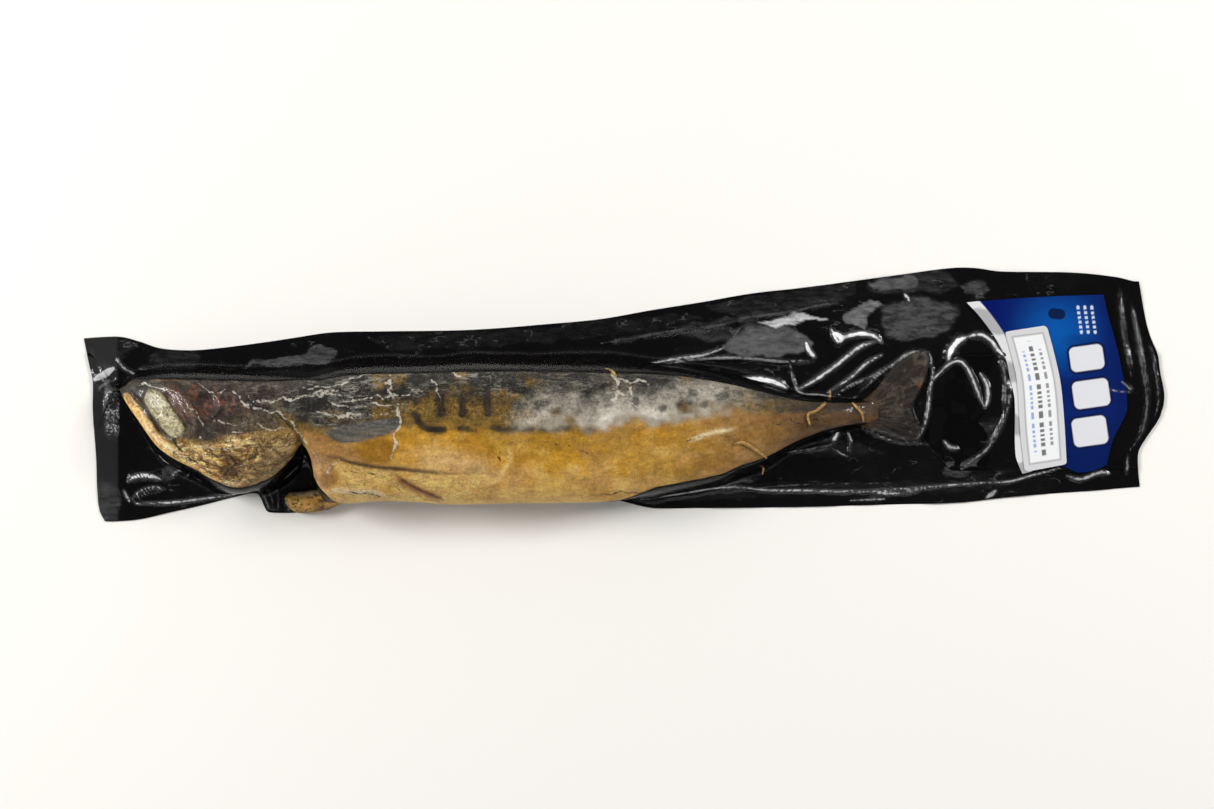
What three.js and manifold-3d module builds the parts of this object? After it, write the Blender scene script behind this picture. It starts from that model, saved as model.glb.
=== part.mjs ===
// A whole hot-smoked mackerel in its vacuum pack. The fish lies on its side between a black
// back film and a clear front film, with a printed label and a product sticker at the tail end.
// Millimetres. +X runs from the head end to the tail end, +Y from the belly to the back of the
// fish, +Z up from the table. The origin is under the middle of the pack, on the table.
import * as THREE from 'three';
import { mergeVertices } from 'three/addons/utils/BufferGeometryUtils.js';
import Module from 'manifold-3d';

const wasm = await Module();
wasm.setup();

// ---- Driving dimensions ----
const FISH_LENGTH = 363; // snout to the rear edge of the tail fin
const FISH_DEPTH = 61; // belly to back, where it is deepest
const FISH_THICKNESS = 38; // side to side, where it is thickest
const FIN_THICKNESS = 3; // tail fin
const FORK_DEPTH = 12; // how far the tail fin is forked
const FORK_MOUTH = 15; // width of the fork at the rear edge
const THROAT_GAP = 9; // width of the slit between the gill cover and the belly wall
const HEAD_MARGIN = 17; // snout to the head end of the pack
const END_BULGE = 9; // how far the middle of the tail end stands past its corners
const HEAD_LEAN = 9; // how much shorter the belly side is at the head end
const FILM = 0.5; // thickness of each film
const CLEARANCE = 0.5; // between pieces that touch
const FILM_GAP = 0.6; // between the two films in a flange
const TENT = 9; // length over which the films close past the snout and the tail fin
const FLATTEN = 16; // past the tail fin, where the pack comes down flat on the table
const FLAT_SINK = 1.6; // how much of the round underside is pressed flat
const LABEL_LENGTH = 62; // printed label, along the pack on its longer side
const LABEL_WIDTH = 79; // printed label, across the pack
const LABEL_SWEEP = 25; // how far the label's head-side edge sweeps back
const LABEL_BULGE = 10; // how far the label's tail-side edge bows out
const LABEL_INSET = 19; // corner of the tail end to the label
const LABEL_MARGIN = 9.5; // long back edge of the pack to the label
const STICKER_LENGTH = 62; // sticker, across the pack
const STICKER_WIDTH = 20;
const STICKER_CORNER = 2; // radius
const STICKER_TILT = 0.145; // radians
const PAPER = 0.4; // thickness of the label and of the sticker

// ---- The fish's lines, as [share of the length, share of the depth] ----
const BACK_LINE = [[0, 0.33], [0.02, 0.43], [0.15, 0.42], [0.22, 0.42], [0.3, 0.475], [0.47, 0.5],
  [0.6, 0.49], [0.69, 0.457], [0.77, 0.365], [0.84, 0.266], [0.9, 0.236], [0.93, 0.27],
  [0.95, 0.46], [0.975, 0.6], [1, 0.585]];
const BELLY_LINE = [[0, 0.31], [0.022, 0.11], [0.047, -0.09], [0.08, -0.22], [0.136, -0.4],
  [0.175, -0.43], [0.215, -0.53], [0.28, -0.52], [0.35, -0.49], [0.5, -0.5], [0.59, -0.495],
  [0.65, -0.42], [0.72, -0.345], [0.8, -0.17], [0.84, -0.04], [0.9, 0.074], [0.93, 0.1],
  [0.97, -0.045], [1, 0.01]];
// Half of the thickness, as a share of it, and how high the snout and the tail lie.
const HALF_THICKNESS = [[0, 0.08], [0.02, 0.15], [0.06, 0.27], [0.12, 0.38], [0.2, 0.44],
  [0.3, 0.48], [0.4, 0.5], [0.52, 0.5], [0.62, 0.46], [0.72, 0.36], [0.8, 0.25], [0.88, 0.14],
  [0.93, 0.08]];
const LIFT = [[0, 4.5], [0.06, 2], [0.12, 0], [0.72, 0], [0.88, 2.2], [1, 1.6]];

// ---- The pack's long edges: place along the pack, millimetres past the deepest lines ----
const BACK_FLANGE = [[0, 12.7], [0.1, 7.5], [0.2, 13.6], [0.35, 16.7], [0.48, 21.7], [0.57, 29.3],
  [0.67, 35.6], [0.76, 41.5], [0.81, 44.6], [0.91, 42.4], [1, 38.8]];
const BELLY_FLANGE = [[0, 8.4], [0.06, 7], [0.11, 3], [0.16, 0], [0.2, 5], [0.24, 3.4], [0.48, 3],
  [0.57, 3.2], [0.67, 2], [0.74, 0.8], [0.81, -0.3], [0.9, -3.9], [1, -7.1]];
const TUCK = [[0.24, 0], [0.27, 1], [0.46, 1], [0.51, 0]]; // where the belly edge folds under
const TUCK_LEAN = 2; // how far a folded edge leans out from the line where the films meet
const MIN_FLANGE = 3; // narrowest open flange
const EDGE_HEIGHT = [[0, 0], [0.12, 3], [0.3, 7], [0.5, 6], [0.72, 1.5], [0.8, 0], [1, 0]];

// ---- Mesh fineness ----
const FISH_STATIONS = 40;
const FISH_RING = 28;
const TAIL_STATIONS = 7;
const FLANGE_STEPS = 3;
const MEET_STEPS = 2; // ring steps below the belly's middle, where the films meet beside it
const CURVE_STEPS = 8;
const MITRE_LIMIT = 0.6; // keeps a sharp corner of a film from running out to a spike

// From end to end at the corners: past the tail fin, the pack leaves room for the whole label.
const PACK_LENGTH = HEAD_MARGIN + FISH_LENGTH + FLATTEN + LABEL_LENGTH + LABEL_INSET;
const REST = FILM + CLEARANCE; // height of the fish's underside over the table
const FILM_FLOOR = FILM + FILM_GAP / 2; // height of the flat films' middle over the table

// Smooth curve through [place, value] points: cubic pieces whose slopes are those between
// each point's neighbours. Level past both ends.
function through(points) {
  const slope = points.map((point, i) => {
    const before = points[Math.max(i - 1, 0)];
    const after = points[Math.min(i + 1, points.length - 1)];
    return (after[1] - before[1]) / (after[0] - before[0]);
  });
  const last = points.length - 1;
  return (place) => {
    if (place <= points[0][0]) return points[0][1];
    if (place >= points[last][0]) return points[last][1];
    const i = points.findIndex((point) => point[0] > place) - 1;
    const span = points[i + 1][0] - points[i][0];
    const t = (place - points[i][0]) / span;
    return points[i][1] * (2 * t ** 3 - 3 * t ** 2 + 1)
      + points[i + 1][1] * (3 * t ** 2 - 2 * t ** 3)
      + span * slope[i] * (t ** 3 - 2 * t ** 2 + t)
      + span * slope[i + 1] * (t ** 3 - t ** 2);
  };
}

const backLine = through(BACK_LINE);
const bellyLine = through(BELLY_LINE);
const halfThickness = through(HALF_THICKNESS);
const lift = through(LIFT);
const backFlange = through(BACK_FLANGE);
const bellyFlange = through(BELLY_FLANGE);
const tuck = through(TUCK);
const edgeHeight = through(EDGE_HEIGHT);

// The fish's section at x millimetres from the snout: middle, half-width and half-height.
function fishSection(x) {
  const s = THREE.MathUtils.clamp(x / FISH_LENGTH, 0, 1);
  const back = backLine(s) * FISH_DEPTH;
  const belly = bellyLine(s) * FISH_DEPTH;
  const high = Math.max(halfThickness(s) * FISH_THICKNESS, FIN_THICKNESS / 2);
  const sunk = FLAT_SINK * Math.min(1, halfThickness(s) * 2);
  return { y: (back + belly) / 2, z: REST + lift(s) + high - sunk, wide: (back - belly) / 2, high };
}

// A point of a section, at an angle from the back side over the top: an oval that is fuller
// below than above, and pressed flat at the floor's height.
function sectionPoint(section, angle, floor) {
  const c = Math.cos(angle);
  const s = Math.sin(angle);
  const power = s > 0 ? 0.9 : 0.78;
  const y = section.y + section.wide * Math.sign(c) * Math.abs(c) ** power;
  const z = section.z + section.high * Math.sign(s) * Math.abs(s) ** power;
  return new THREE.Vector2(y, Math.max(z, floor));
}

// A closed loft: rings of equal length, one per station, with a fan over each end.
function loft(rings) {
  const count = rings[0].length;
  const middle = (ring) => ring.reduce((sum, p) => sum.add(p), new THREE.Vector3())
    .divideScalar(count);
  const points = [...rings.flat(), middle(rings[0]), middle(rings[rings.length - 1])];
  const faces = [];
  for (let i = 0; i < rings.length - 1; i++) {
    for (let j = 0; j < count; j++) {
      const a = i * count + j;
      const b = i * count + ((j + 1) % count);
      faces.push(a, b, a + count, b, b + count, a + count);
    }
  }
  const end = (rings.length - 1) * count;
  for (let j = 0; j < count; j++) {
    const next = (j + 1) % count;
    faces.push(points.length - 2, next, j, points.length - 1, end + j, end + next);
  }
  return solid(points, faces);
}

// A thin closed shell between two grids of points, rows[i][j], the second one below the first.
function shell(upper, lower) {
  const rows = upper.length;
  const columns = upper[0].length;
  const under = rows * columns;
  const at = (i, j) => i * columns + j;
  const faces = [];
  const quad = (a, b, c, d) => faces.push(a, b, c, a, c, d);
  for (let i = 0; i < rows - 1; i++) {
    for (let j = 0; j < columns - 1; j++) {
      const [a, b, c, d] = [at(i, j), at(i + 1, j), at(i + 1, j + 1), at(i, j + 1)];
      quad(a, b, c, d);
      quad(under + a, under + d, under + c, under + b);
    }
  }
  const wall = (a, b) => quad(a, under + a, under + b, b);
  for (let i = 0; i < rows - 1; i++) {
    wall(at(i, 0), at(i + 1, 0));
    wall(at(i + 1, columns - 1), at(i, columns - 1));
  }
  for (let j = 0; j < columns - 1; j++) {
    wall(at(rows - 1, j), at(rows - 1, j + 1));
    wall(at(0, j + 1), at(0, j));
  }
  return solid([...upper.flat(), ...lower.flat()], faces);
}

function solid(points, faces) {
  const geometry = new THREE.BufferGeometry().setFromPoints(points);
  geometry.setIndex(faces);
  return geometry;
}

// ---- Joining and cutting ----
function toManifold(source) {
  const bare = source.clone();
  bare.deleteAttribute('normal');
  bare.deleteAttribute('uv');
  const geometry = mergeVertices(bare, 1e-4);
  return new wasm.Manifold(new wasm.Mesh({
    numProp: 3,
    vertProperties: new Float32Array(geometry.attributes.position.array),
    triVerts: new Uint32Array(geometry.index.array),
  }));
}

function fromManifold(body) {
  const mesh = body.getMesh();
  const geometry = new THREE.BufferGeometry();
  geometry.setAttribute('position', new THREE.BufferAttribute(mesh.vertProperties, 3));
  geometry.setIndex(new THREE.BufferAttribute(mesh.triVerts, 1));
  return geometry;
}

// An upright prism through the whole height of the fish, from its outline seen from above.
function prism(outline) {
  const shape = new THREE.Shape(outline.map(([x, y]) => new THREE.Vector2(x, y)));
  return new THREE.ExtrudeGeometry(shape, { depth: 2 * FISH_THICKNESS, bevelEnabled: false })
    .translate(0, 0, -FISH_THICKNESS / 2);
}

// ---- The fish: head, body and tail in one piece ----
// A slit runs behind the gill cover, between it and the front of the cut-open belly wall.
function throatSlit() {
  const x = 0.228 * FISH_LENGTH;
  const top = -0.09 * FISH_DEPTH;
  const mouth = -0.7 * FISH_DEPTH;
  return prism([[x - THROAT_GAP / 2, top], [x - 1.3 * THROAT_GAP, 0.7 * mouth],
    [x - 3.2 * THROAT_GAP, mouth], [x - 1.7 * THROAT_GAP, mouth], [x, 0.7 * mouth],
    [x + THROAT_GAP / 2, top]]);
}

function tailFork() {
  const tail = fishSection(FISH_LENGTH);
  const end = FISH_LENGTH + TENT;
  const half = (FORK_MOUTH / 2) * ((FORK_DEPTH + TENT) / FORK_DEPTH);
  return prism([[FISH_LENGTH - FORK_DEPTH, tail.y], [end, tail.y - half], [end, tail.y + half]]);
}

function mackerelGeometry() {
  const rings = [];
  for (let i = 0; i <= FISH_STATIONS; i++) {
    const x = (FISH_LENGTH * i) / FISH_STATIONS;
    const section = fishSection(x);
    const ring = [];
    for (let j = 0; j < FISH_RING; j++) {
      const point = sectionPoint(section, (2 * Math.PI * j) / FISH_RING, REST);
      ring.push(new THREE.Vector3(x, point.x, point.y));
    }
    rings.push(ring);
  }
  const body = toManifold(loft(rings));
  return fromManifold(body.subtract(toManifold(throatSlit())).subtract(toManifold(tailFork())));
}

// ---- The films ----
// Both films run from end to end of the pack, on the fish's own stations along its length.
function filmStations() {
  const fish = Array.from({ length: FISH_STATIONS + 1 }, (_, i) => (FISH_LENGTH * i) / FISH_STATIONS);
  const flat = FISH_LENGTH + FLATTEN;
  const flatLength = PACK_LENGTH - HEAD_MARGIN - flat;
  const tail = Array.from({ length: TAIL_STATIONS + 1 }, (_, i) => flat + (flatLength * i) / TAIL_STATIONS);
  return [-HEAD_MARGIN, -TENT, ...fish, FISH_LENGTH + TENT, ...tail];
}

// The section that the films wrap at x: the fish's own with the clearance round it, closing to
// a flat line past its ends.
function wrapSection(x) {
  const section = fishSection(x);
  const past = Math.max(-x, x - FISH_LENGTH, 0);
  const lie = THREE.MathUtils.smoothstep(past, 0, FLATTEN);
  return {
    y: section.y,
    z: THREE.MathUtils.lerp(section.z, FILM_FLOOR, lie),
    wide: Math.max(section.wide + CLEARANCE, TENT),
    high: (section.high + CLEARANCE) * (1 - THREE.MathUtils.smoothstep(past, 0, TENT)),
  };
}

// The line where the films lie, across the pack at x, from the belly edge to the back edge:
// a flange, then over the fish for the front film or under it for the back film, then the
// other flange. The flanges come down in a curve from the fish's side to the edge's height.
// Where the fish is thick, the belly flange starts a little below the middle of its side.
function filmLine(x, front) {
  const place = (x + HEAD_MARGIN) / PACK_LENGTH;
  const section = wrapSection(x);
  const folded = tuck(place);
  const step = (2 * Math.PI) / FISH_RING;
  const low = MEET_STEPS * step * THREE.MathUtils.smoothstep(section.high, FIN_THICKNESS, TENT);
  const start = sectionPoint(section, Math.PI + low, FILM_FLOOR);
  const finish = sectionPoint(section, 0, FILM_FLOOR);
  const open = Math.min(-FISH_DEPTH / 2 - bellyFlange(place), start.x - MIN_FLANGE);
  const bellyEdge = THREE.MathUtils.lerp(open, start.x - TUCK_LEAN, folded);
  const backEdge = Math.max(FISH_DEPTH / 2 + backFlange(place), finish.x + MIN_FLANGE);
  const bellyHeight = FILM_FLOOR + edgeHeight(place) * (1 - folded);
  const backHeight = FILM_FLOOR + edgeHeight(place);
  const line = [];
  for (let i = 0; i < FLANGE_STEPS; i++) {
    const q = i / FLANGE_STEPS;
    const height = THREE.MathUtils.lerp(bellyHeight, start.y, q * q);
    line.push(new THREE.Vector2(THREE.MathUtils.lerp(bellyEdge, start.x, q), height));
  }
  const wrapSteps = FISH_RING / 2 + (front ? MEET_STEPS : -MEET_STEPS);
  const turn = (front ? -Math.PI - low : Math.PI - low) / wrapSteps;
  for (let i = 0; i <= wrapSteps; i++) {
    line.push(sectionPoint(section, Math.PI + low + i * turn, FILM_FLOOR));
  }
  for (let i = 1; i <= FLANGE_STEPS; i++) {
    const q = i / FLANGE_STEPS;
    const height = THREE.MathUtils.lerp(backHeight, finish.y, (1 - q) ** 2);
    line.push(new THREE.Vector2(THREE.MathUtils.lerp(finish.x, backEdge, q), height));
  }
  return line;
}

// The tail end bows out in the middle, and the head end leans: how far along X a point moves.
function endShift(x, share) {
  const tail = THREE.MathUtils.smoothstep(x, FISH_LENGTH + TENT, PACK_LENGTH - HEAD_MARGIN);
  const head = 1 - THREE.MathUtils.smoothstep(x, -HEAD_MARGIN, 0);
  return END_BULGE * Math.sin(Math.PI * share) * tail + HEAD_LEAN * (1 - share) * head;
}

// A film's shell: its line, moved off square to itself by half the gap between the films on
// the near face, and by that and the film's thickness on the far face, with mitred corners.
function filmGeometry(front) {
  const side = front ? 1 : -1;
  const near = [];
  const far = [];
  for (const x of filmStations()) {
    const line = filmLine(x, front);
    const [belly, back] = [line[0].x, line[line.length - 1].x];
    const faces = line.map((point, j) => {
      const before = line[Math.max(j - 1, 0)];
      const after = line[Math.min(j + 1, line.length - 1)];
      const leaving = after.clone().sub(point).normalize();
      const run = point.clone().sub(before).normalize().add(leaving).normalize();
      const stretch = j < line.length - 1 ? 1 / Math.max(run.dot(leaving), MITRE_LIMIT) : 1;
      const out = new THREE.Vector2(-run.y, run.x).multiplyScalar(side * stretch);
      const shifted = x + endShift(x, (point.x - belly) / (back - belly));
      return [FILM_GAP / 2, FILM_GAP / 2 + FILM].map((off) => new THREE.Vector3(
        shifted,
        point.x + off * out.x,
        Math.max(point.y + off * out.y, 0),
      ));
    });
    near.push(faces.map((pair) => pair[0]));
    far.push(faces.map((pair) => pair[1]));
  }
  return front ? shell(far, near) : shell(near, far);
}

// ---- Label and sticker: flat plates on the front film, where the pack lies flat ----
const LABEL_TOP = 2 * FILM + FILM_GAP + CLEARANCE + PAPER;
const LABEL_END = PACK_LENGTH - HEAD_MARGIN - LABEL_INSET;
const LABEL_BACK = FISH_DEPTH / 2 + backFlange(1 - LABEL_INSET / PACK_LENGTH) - LABEL_MARGIN;

// Its head-side edge sweeps away in a curve and its tail-side edge bows out.
function labelGeometry() {
  const shape = new THREE.Shape();
  const [head, end] = [LABEL_END - LABEL_LENGTH, LABEL_END];
  const [back, belly] = [LABEL_BACK, LABEL_BACK - LABEL_WIDTH];
  shape.moveTo(head + LABEL_SWEEP, belly);
  const middle = (back + belly) / 2;
  shape.quadraticCurveTo(end + LABEL_BULGE / 2, belly + LABEL_BULGE / 2, end + LABEL_BULGE, middle);
  shape.quadraticCurveTo(end + LABEL_BULGE, back - LABEL_BULGE, end, back);
  shape.lineTo(head, back);
  shape.quadraticCurveTo(head + LABEL_SWEEP, middle + LABEL_BULGE, head + LABEL_SWEEP, belly);
  return new THREE.ExtrudeGeometry(shape, { depth: PAPER, bevelEnabled: false, curveSegments: CURVE_STEPS })
    .translate(0, 0, LABEL_TOP - PAPER);
}

function stickerGeometry() {
  const shape = new THREE.Shape();
  const [x, y, r] = [STICKER_WIDTH / 2, STICKER_LENGTH / 2, STICKER_CORNER];
  shape.moveTo(-x + r, -y);
  shape.lineTo(x - r, -y).absarc(x - r, -y + r, r, -Math.PI / 2, 0);
  shape.lineTo(x, y - r).absarc(x - r, y - r, r, 0, Math.PI / 2);
  shape.lineTo(-x + r, y).absarc(-x + r, y - r, r, Math.PI / 2, Math.PI);
  shape.lineTo(-x, -y + r).absarc(-x + r, -y + r, r, Math.PI, 1.5 * Math.PI);
  return new THREE.ExtrudeGeometry(shape, { depth: PAPER, bevelEnabled: false, curveSegments: 4 });
}

// ---- Assembly ----
function piece(name, geometry, color, roughness) {
  const material = new THREE.MeshStandardMaterial({ color, roughness, metalness: 0 });
  const mesh = new THREE.Mesh(geometry, material);
  mesh.name = name;
  return mesh;
}

const mackerel = piece('mackerel', mackerelGeometry(), 0x9c7428, 0.4);
const backFilm = piece('back_film', filmGeometry(false), 0x0a0a0a, 0.2);
const frontFilm = piece('front_film', filmGeometry(true), 0xdfe3e6, 0.1);
const label = piece('printed_label', labelGeometry(), 0x0b3f8e, 0.3);
const sticker = piece('product_sticker', stickerGeometry(), 0xe8e6e2, 0.5);
sticker.position.set(LABEL_END - LABEL_LENGTH / 2, LABEL_BACK - LABEL_WIDTH / 2, LABEL_TOP + CLEARANCE);
sticker.rotation.z = STICKER_TILT;

const pack = new THREE.Group();
pack.add(mackerel, backFilm, frontFilm, label, sticker);
const box = new THREE.Box3().setFromObject(pack);
pack.position.set(-(box.min.x + box.max.x) / 2, -(box.min.y + box.max.y) / 2, -box.min.z);

export default pack;
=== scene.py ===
import math

import bpy
import mathutils
import numpy as np
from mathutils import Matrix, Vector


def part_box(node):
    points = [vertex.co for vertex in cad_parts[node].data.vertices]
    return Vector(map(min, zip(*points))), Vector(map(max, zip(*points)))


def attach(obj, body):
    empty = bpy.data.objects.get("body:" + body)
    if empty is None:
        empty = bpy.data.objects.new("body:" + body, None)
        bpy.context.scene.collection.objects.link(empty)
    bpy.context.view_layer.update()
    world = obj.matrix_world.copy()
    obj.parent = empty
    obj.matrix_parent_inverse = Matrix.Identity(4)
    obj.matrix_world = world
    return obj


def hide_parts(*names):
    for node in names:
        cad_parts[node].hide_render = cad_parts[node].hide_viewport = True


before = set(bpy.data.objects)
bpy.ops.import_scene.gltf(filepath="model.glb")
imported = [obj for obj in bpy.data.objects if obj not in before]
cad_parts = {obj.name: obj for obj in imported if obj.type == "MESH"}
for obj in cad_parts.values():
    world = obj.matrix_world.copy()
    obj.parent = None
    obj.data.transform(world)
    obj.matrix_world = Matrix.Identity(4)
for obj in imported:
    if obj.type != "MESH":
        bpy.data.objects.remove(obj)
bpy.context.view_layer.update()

# ---- Mackerel: body and head ----
# The fish itself: a whole hot-smoked mackerel on its side, gutted through a cut along the belly.
# The skin is smoked golden below and keeps its dark bars above, under a bloom of set white fat.
# Sizes are millimetres from the snout (x), from the fish's middle line (y) and from the table (z).

MM = 0.001
SNOUT_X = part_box("mackerel")[0][0] / MM
BELLY_TO_MIDDLE = 32.7
MIDDLE_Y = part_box("mackerel")[0][1] / MM + BELLY_TO_MIDDLE
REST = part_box("mackerel")[0][2] / MM

BODY_END = 340.0
BACK_LINE = [(0, 20.5), (2, 22), (4.5, 24), (8, 25.5), (35, 26), (80, 25.5), (89, 26), (98, 28),
             (107, 29), (125, 29.5), (170, 30.5), (215, 30), (238, 29), (251, 28), (269, 25),
             (287, 20.5), (305, 16), (328, 14.5), (340, 15)]
BELLY_LINE = [(0, 20), (2.5, 15), (8, 7), (17, -5.5), (26, -12), (35, -16.5), (44, -22),
              (49.5, -24.5), (55.5, -25), (61, -23.5), (67, -21), (72.5, -17), (78, -11.5),
              (81, -6.5), (82.5, -5.5), (84.5, -7.5), (86.5, -12), (88, -20), (91, -26),
              (96, -29.5), (103, -30.5), (118, -29.5), (134, -30), (148, -31), (179, -30.5),
              (215, -30), (224, -29), (238, -25.5), (251, -23), (269, -19), (278, -15), (289, -11),
              (305, -2.5), (319, 2.5), (328, 4.5), (340, 6)]
HALF_HEIGHT = [(0, 2.5), (7, 5.5), (22, 10.5), (44, 14.5), (73, 16.5), (109, 18), (145, 19),
               (189, 19), (225, 17.5), (261, 13.5), (290, 9.5), (319, 5.5), (330, 3.5), (340, 1.5)]
LIFT = [(0, 4.5), (22, 2), (44, 0), (261, 0), (319, 2.2), (363, 1.6)]
FLAT_SINK = 1.6
THICKEST = 19.0
UPPER_POWER, LOWER_POWER = 0.9, 0.78


def through(points, at):
    """Smooth curve through (place, value) points: between two points a cubic whose end slopes
    are those from each point's neighbour on one side to the one on the other; level outside."""
    place, value = np.array(points, float).T
    slope = np.empty_like(value)
    slope[1:-1] = (value[2:] - value[:-2]) / (place[2:] - place[:-2])
    slope[0] = (value[1] - value[0]) / (place[1] - place[0])
    slope[-1] = (value[-1] - value[-2]) / (place[-1] - place[-2])
    at = np.clip(at, place[0], place[-1])
    i = np.clip(np.searchsorted(place, at, side="right") - 1, 0, len(place) - 2)
    span = place[i + 1] - place[i]
    t = (at - place[i]) / span
    return (value[i] * (2 * t**3 - 3 * t**2 + 1) + value[i + 1] * (3 * t**2 - 2 * t**3)
            + span * (slope[i] * (t**3 - 2 * t**2 + t) + slope[i + 1] * (t**3 - t**2)))


def ease(low, high, at):
    """0 below low, 1 above high, and a smooth step between."""
    t = np.clip((at - low) / (high - low), 0, 1)
    return t * t * (3 - 2 * t)


def grain(x, y, size, seed, octaves=3):
    """Smooth noise, about -1 to 1: random heights on a square lattice, blended across each
    square by a smooth step, with octaves of half the size and half the height added."""
    heights = np.random.default_rng(seed).uniform(-1, 1, (128, 128))
    total = np.zeros(np.broadcast(x, y).shape)
    for octave in range(octaves):
        u = x / size * 2**octave + 17.3 * octave
        v = y / size * 2**octave + 5.1 * octave
        i, j = np.floor(u).astype(int), np.floor(v).astype(int)
        fu, fv = ease(0, 1, u - i), ease(0, 1, v - j)
        corner = [heights[(i + a) % 128, (j + b) % 128] for a in (0, 1) for b in (0, 1)]
        low = corner[0] * (1 - fv) + corner[1] * fv
        high = corner[2] * (1 - fv) + corner[3] * fv
        total += (low * (1 - fu) + high * fu) / 2**octave
    return total


def drawn(points, steps=6):
    """A drawn line as a smooth one: the same cubic pieces, over the length along it."""
    points = np.array(points, float)
    run = np.concatenate([[0], np.cumsum(np.hypot(*np.diff(points, axis=0).T))])
    at = np.interp(np.linspace(0, len(points) - 1, (len(points) - 1) * steps + 1),
                   np.arange(len(points)), run)
    return np.stack([through(list(zip(run, points[:, k])), at) for k in (0, 1)], axis=1)


def from_line(x, y, points, smooth=True):
    """Distance from each place to a drawn line, how far along it (0 to 1) the nearest point
    is, and on which side the place lies (positive on the left of the way it is drawn)."""
    line = drawn(points) if smooth and len(points) > 2 else np.array(points, float)
    best = np.full(x.shape, 1e9)
    along, side = np.zeros(x.shape), np.zeros(x.shape)
    count = len(line) - 1
    for k in range(count):
        (ax, ay), (bx, by) = line[k], line[k + 1]
        dx, dy = bx - ax, by - ay
        t = np.clip(((x - ax) * dx + (y - ay) * dy) / (dx * dx + dy * dy), 0, 1)
        away = np.hypot(x - ax - t * dx, y - ay - t * dy)
        closer = away < best
        best = np.where(closer, away, best)
        along = np.where(closer, (k + t) / count, along)
        side = np.where(closer, np.sign(dx * (y - ay) - dy * (x - ax)), side)
    return best, along, side


def stroke(x, y, points, width, taper=0.25):
    """A soft brush stroke along a drawn line: 1 on the line, falling off as a bell whose half
    width is given, and thinning to nothing over the taper's share at each end."""
    away, along = from_line(x, y, points)[:2]
    ends = np.sqrt(np.clip(np.minimum(along, 1 - along) / taper, 0, 1))
    reach = width * (0.35 + 0.65 * ends)
    return np.exp(-(away / reach) ** 2) * ends


def patch(x, y, points, soft):
    """A filled outline: 1 inside, 0 outside, with an edge of the given softness."""
    closed = drawn(list(points) + [points[0]])
    away = from_line(x, y, closed, smooth=False)[0]
    inside = np.zeros(x.shape, bool)
    for (ax, ay), (bx, by) in zip(closed[:-1], closed[1:]):
        crosses = (ay > y) != (by > y)
        inside ^= crosses & (x < ax + (y - ay) * (bx - ax) / (by - ay + 1e-9 * (by == ay)))
    return ease(-soft, soft, np.where(inside, away, -away))


def fish_section(x):
    """The fish's section at x: middle across, middle height, half width and half height."""
    back, belly = through(BACK_LINE, x), through(BELLY_LINE, x)
    high = through(HALF_HEIGHT, x)
    sunk = FLAT_SINK * np.clip(high / THICKEST, 0, 1)
    return (back + belly) / 2, REST + through(LIFT, x) + high - sunk, (back - belly) / 2, high


def section_place(section, angle, floor):
    """A place on a section, at an angle from the back over the top: an oval that is fuller
    below than above, pressed flat at the floor."""
    middle, level, wide, high = section
    c, s = np.cos(angle), np.sin(angle)
    power = np.where(s > 0, UPPER_POWER, LOWER_POWER)
    y = middle + wide * np.sign(c) * np.abs(c) ** power
    z = level + high * np.sign(s) * np.abs(s) ** power
    return y, np.maximum(z, floor)


# The lines of the head and the belly that shape the skin, each drawn once.
MOUTH = [(4, 20.5), (9, 15.5), (13.5, 11.5), (16.5, 6), (20, 1), (25.5, -1.6)]
JAW_TOP = [(2, 18.5), (9, 10), (16, 1), (25, -6.5), (36, -13), (48, -20)]
JAW_LOW = [(1, 16.5), (8, 8), (17, -3.8), (26, -10.4), (36, -15.4), (48, -22.6)]
CHEEK_PLATE = [(14, 21), (20, 18), (25, 11), (30, 3.5), (28, -1), (23, 0.5), (17, 7.5), (12, 15)]
EYE = (39.5, 13.5)
EYE_SIZE = 6.2
SNOUT_RIDGE = [(19, 22.5), (26, 20), (31, 15), (35, 8.5), (36, 4)]
GILL_EDGE = [(57, 18), (62, 12.5), (70, 10.5), (76, 5.5), (80.5, 0), (82, -4.5), (78, -11),
             (72, -17)]
GILL_FOLDS = [
    [(28, -4), (36, -6), (45, -9), (55, -8), (62, -5)],
    [(34, -9), (42, -10), (48, -13), (54, -15), (60, -12)],
    [(40, -4), (48, -5), (56, -3), (62, 0)],
    [(44, -16), (50, -18), (55, -20), (62, -18)],
    [(50, -8), (52, -13), (50, -18)],
    [(62, -2), (64, -8), (62, -14)],
]
BELLY_CUT = [(92, -9), (99, -10), (105, -12), (116, -14), (126, -15), (139, -16.3), (152, -17.2),
             (166, -17.2)]
CUT_EDGE = [(122, -16.6), (129, -21.5), (137, -25.6), (146, -29.4)]
FLAP_FOLD = [(92, -26), (98, -24.6), (107, -25.2), (116, -25.6), (122, -28.4)]
THROAT_FOLD = [(72, 12), (77, 6.5), (81, 1), (85, -5), (89, -11), (93, -17)]
PECTORAL = [(93.5, 1), (102.5, 4.8), (114, 6.4), (125, 7.6), (127, 6), (124, 1.6), (116, -1),
            (103, -3.6), (97, -2)]


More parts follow.
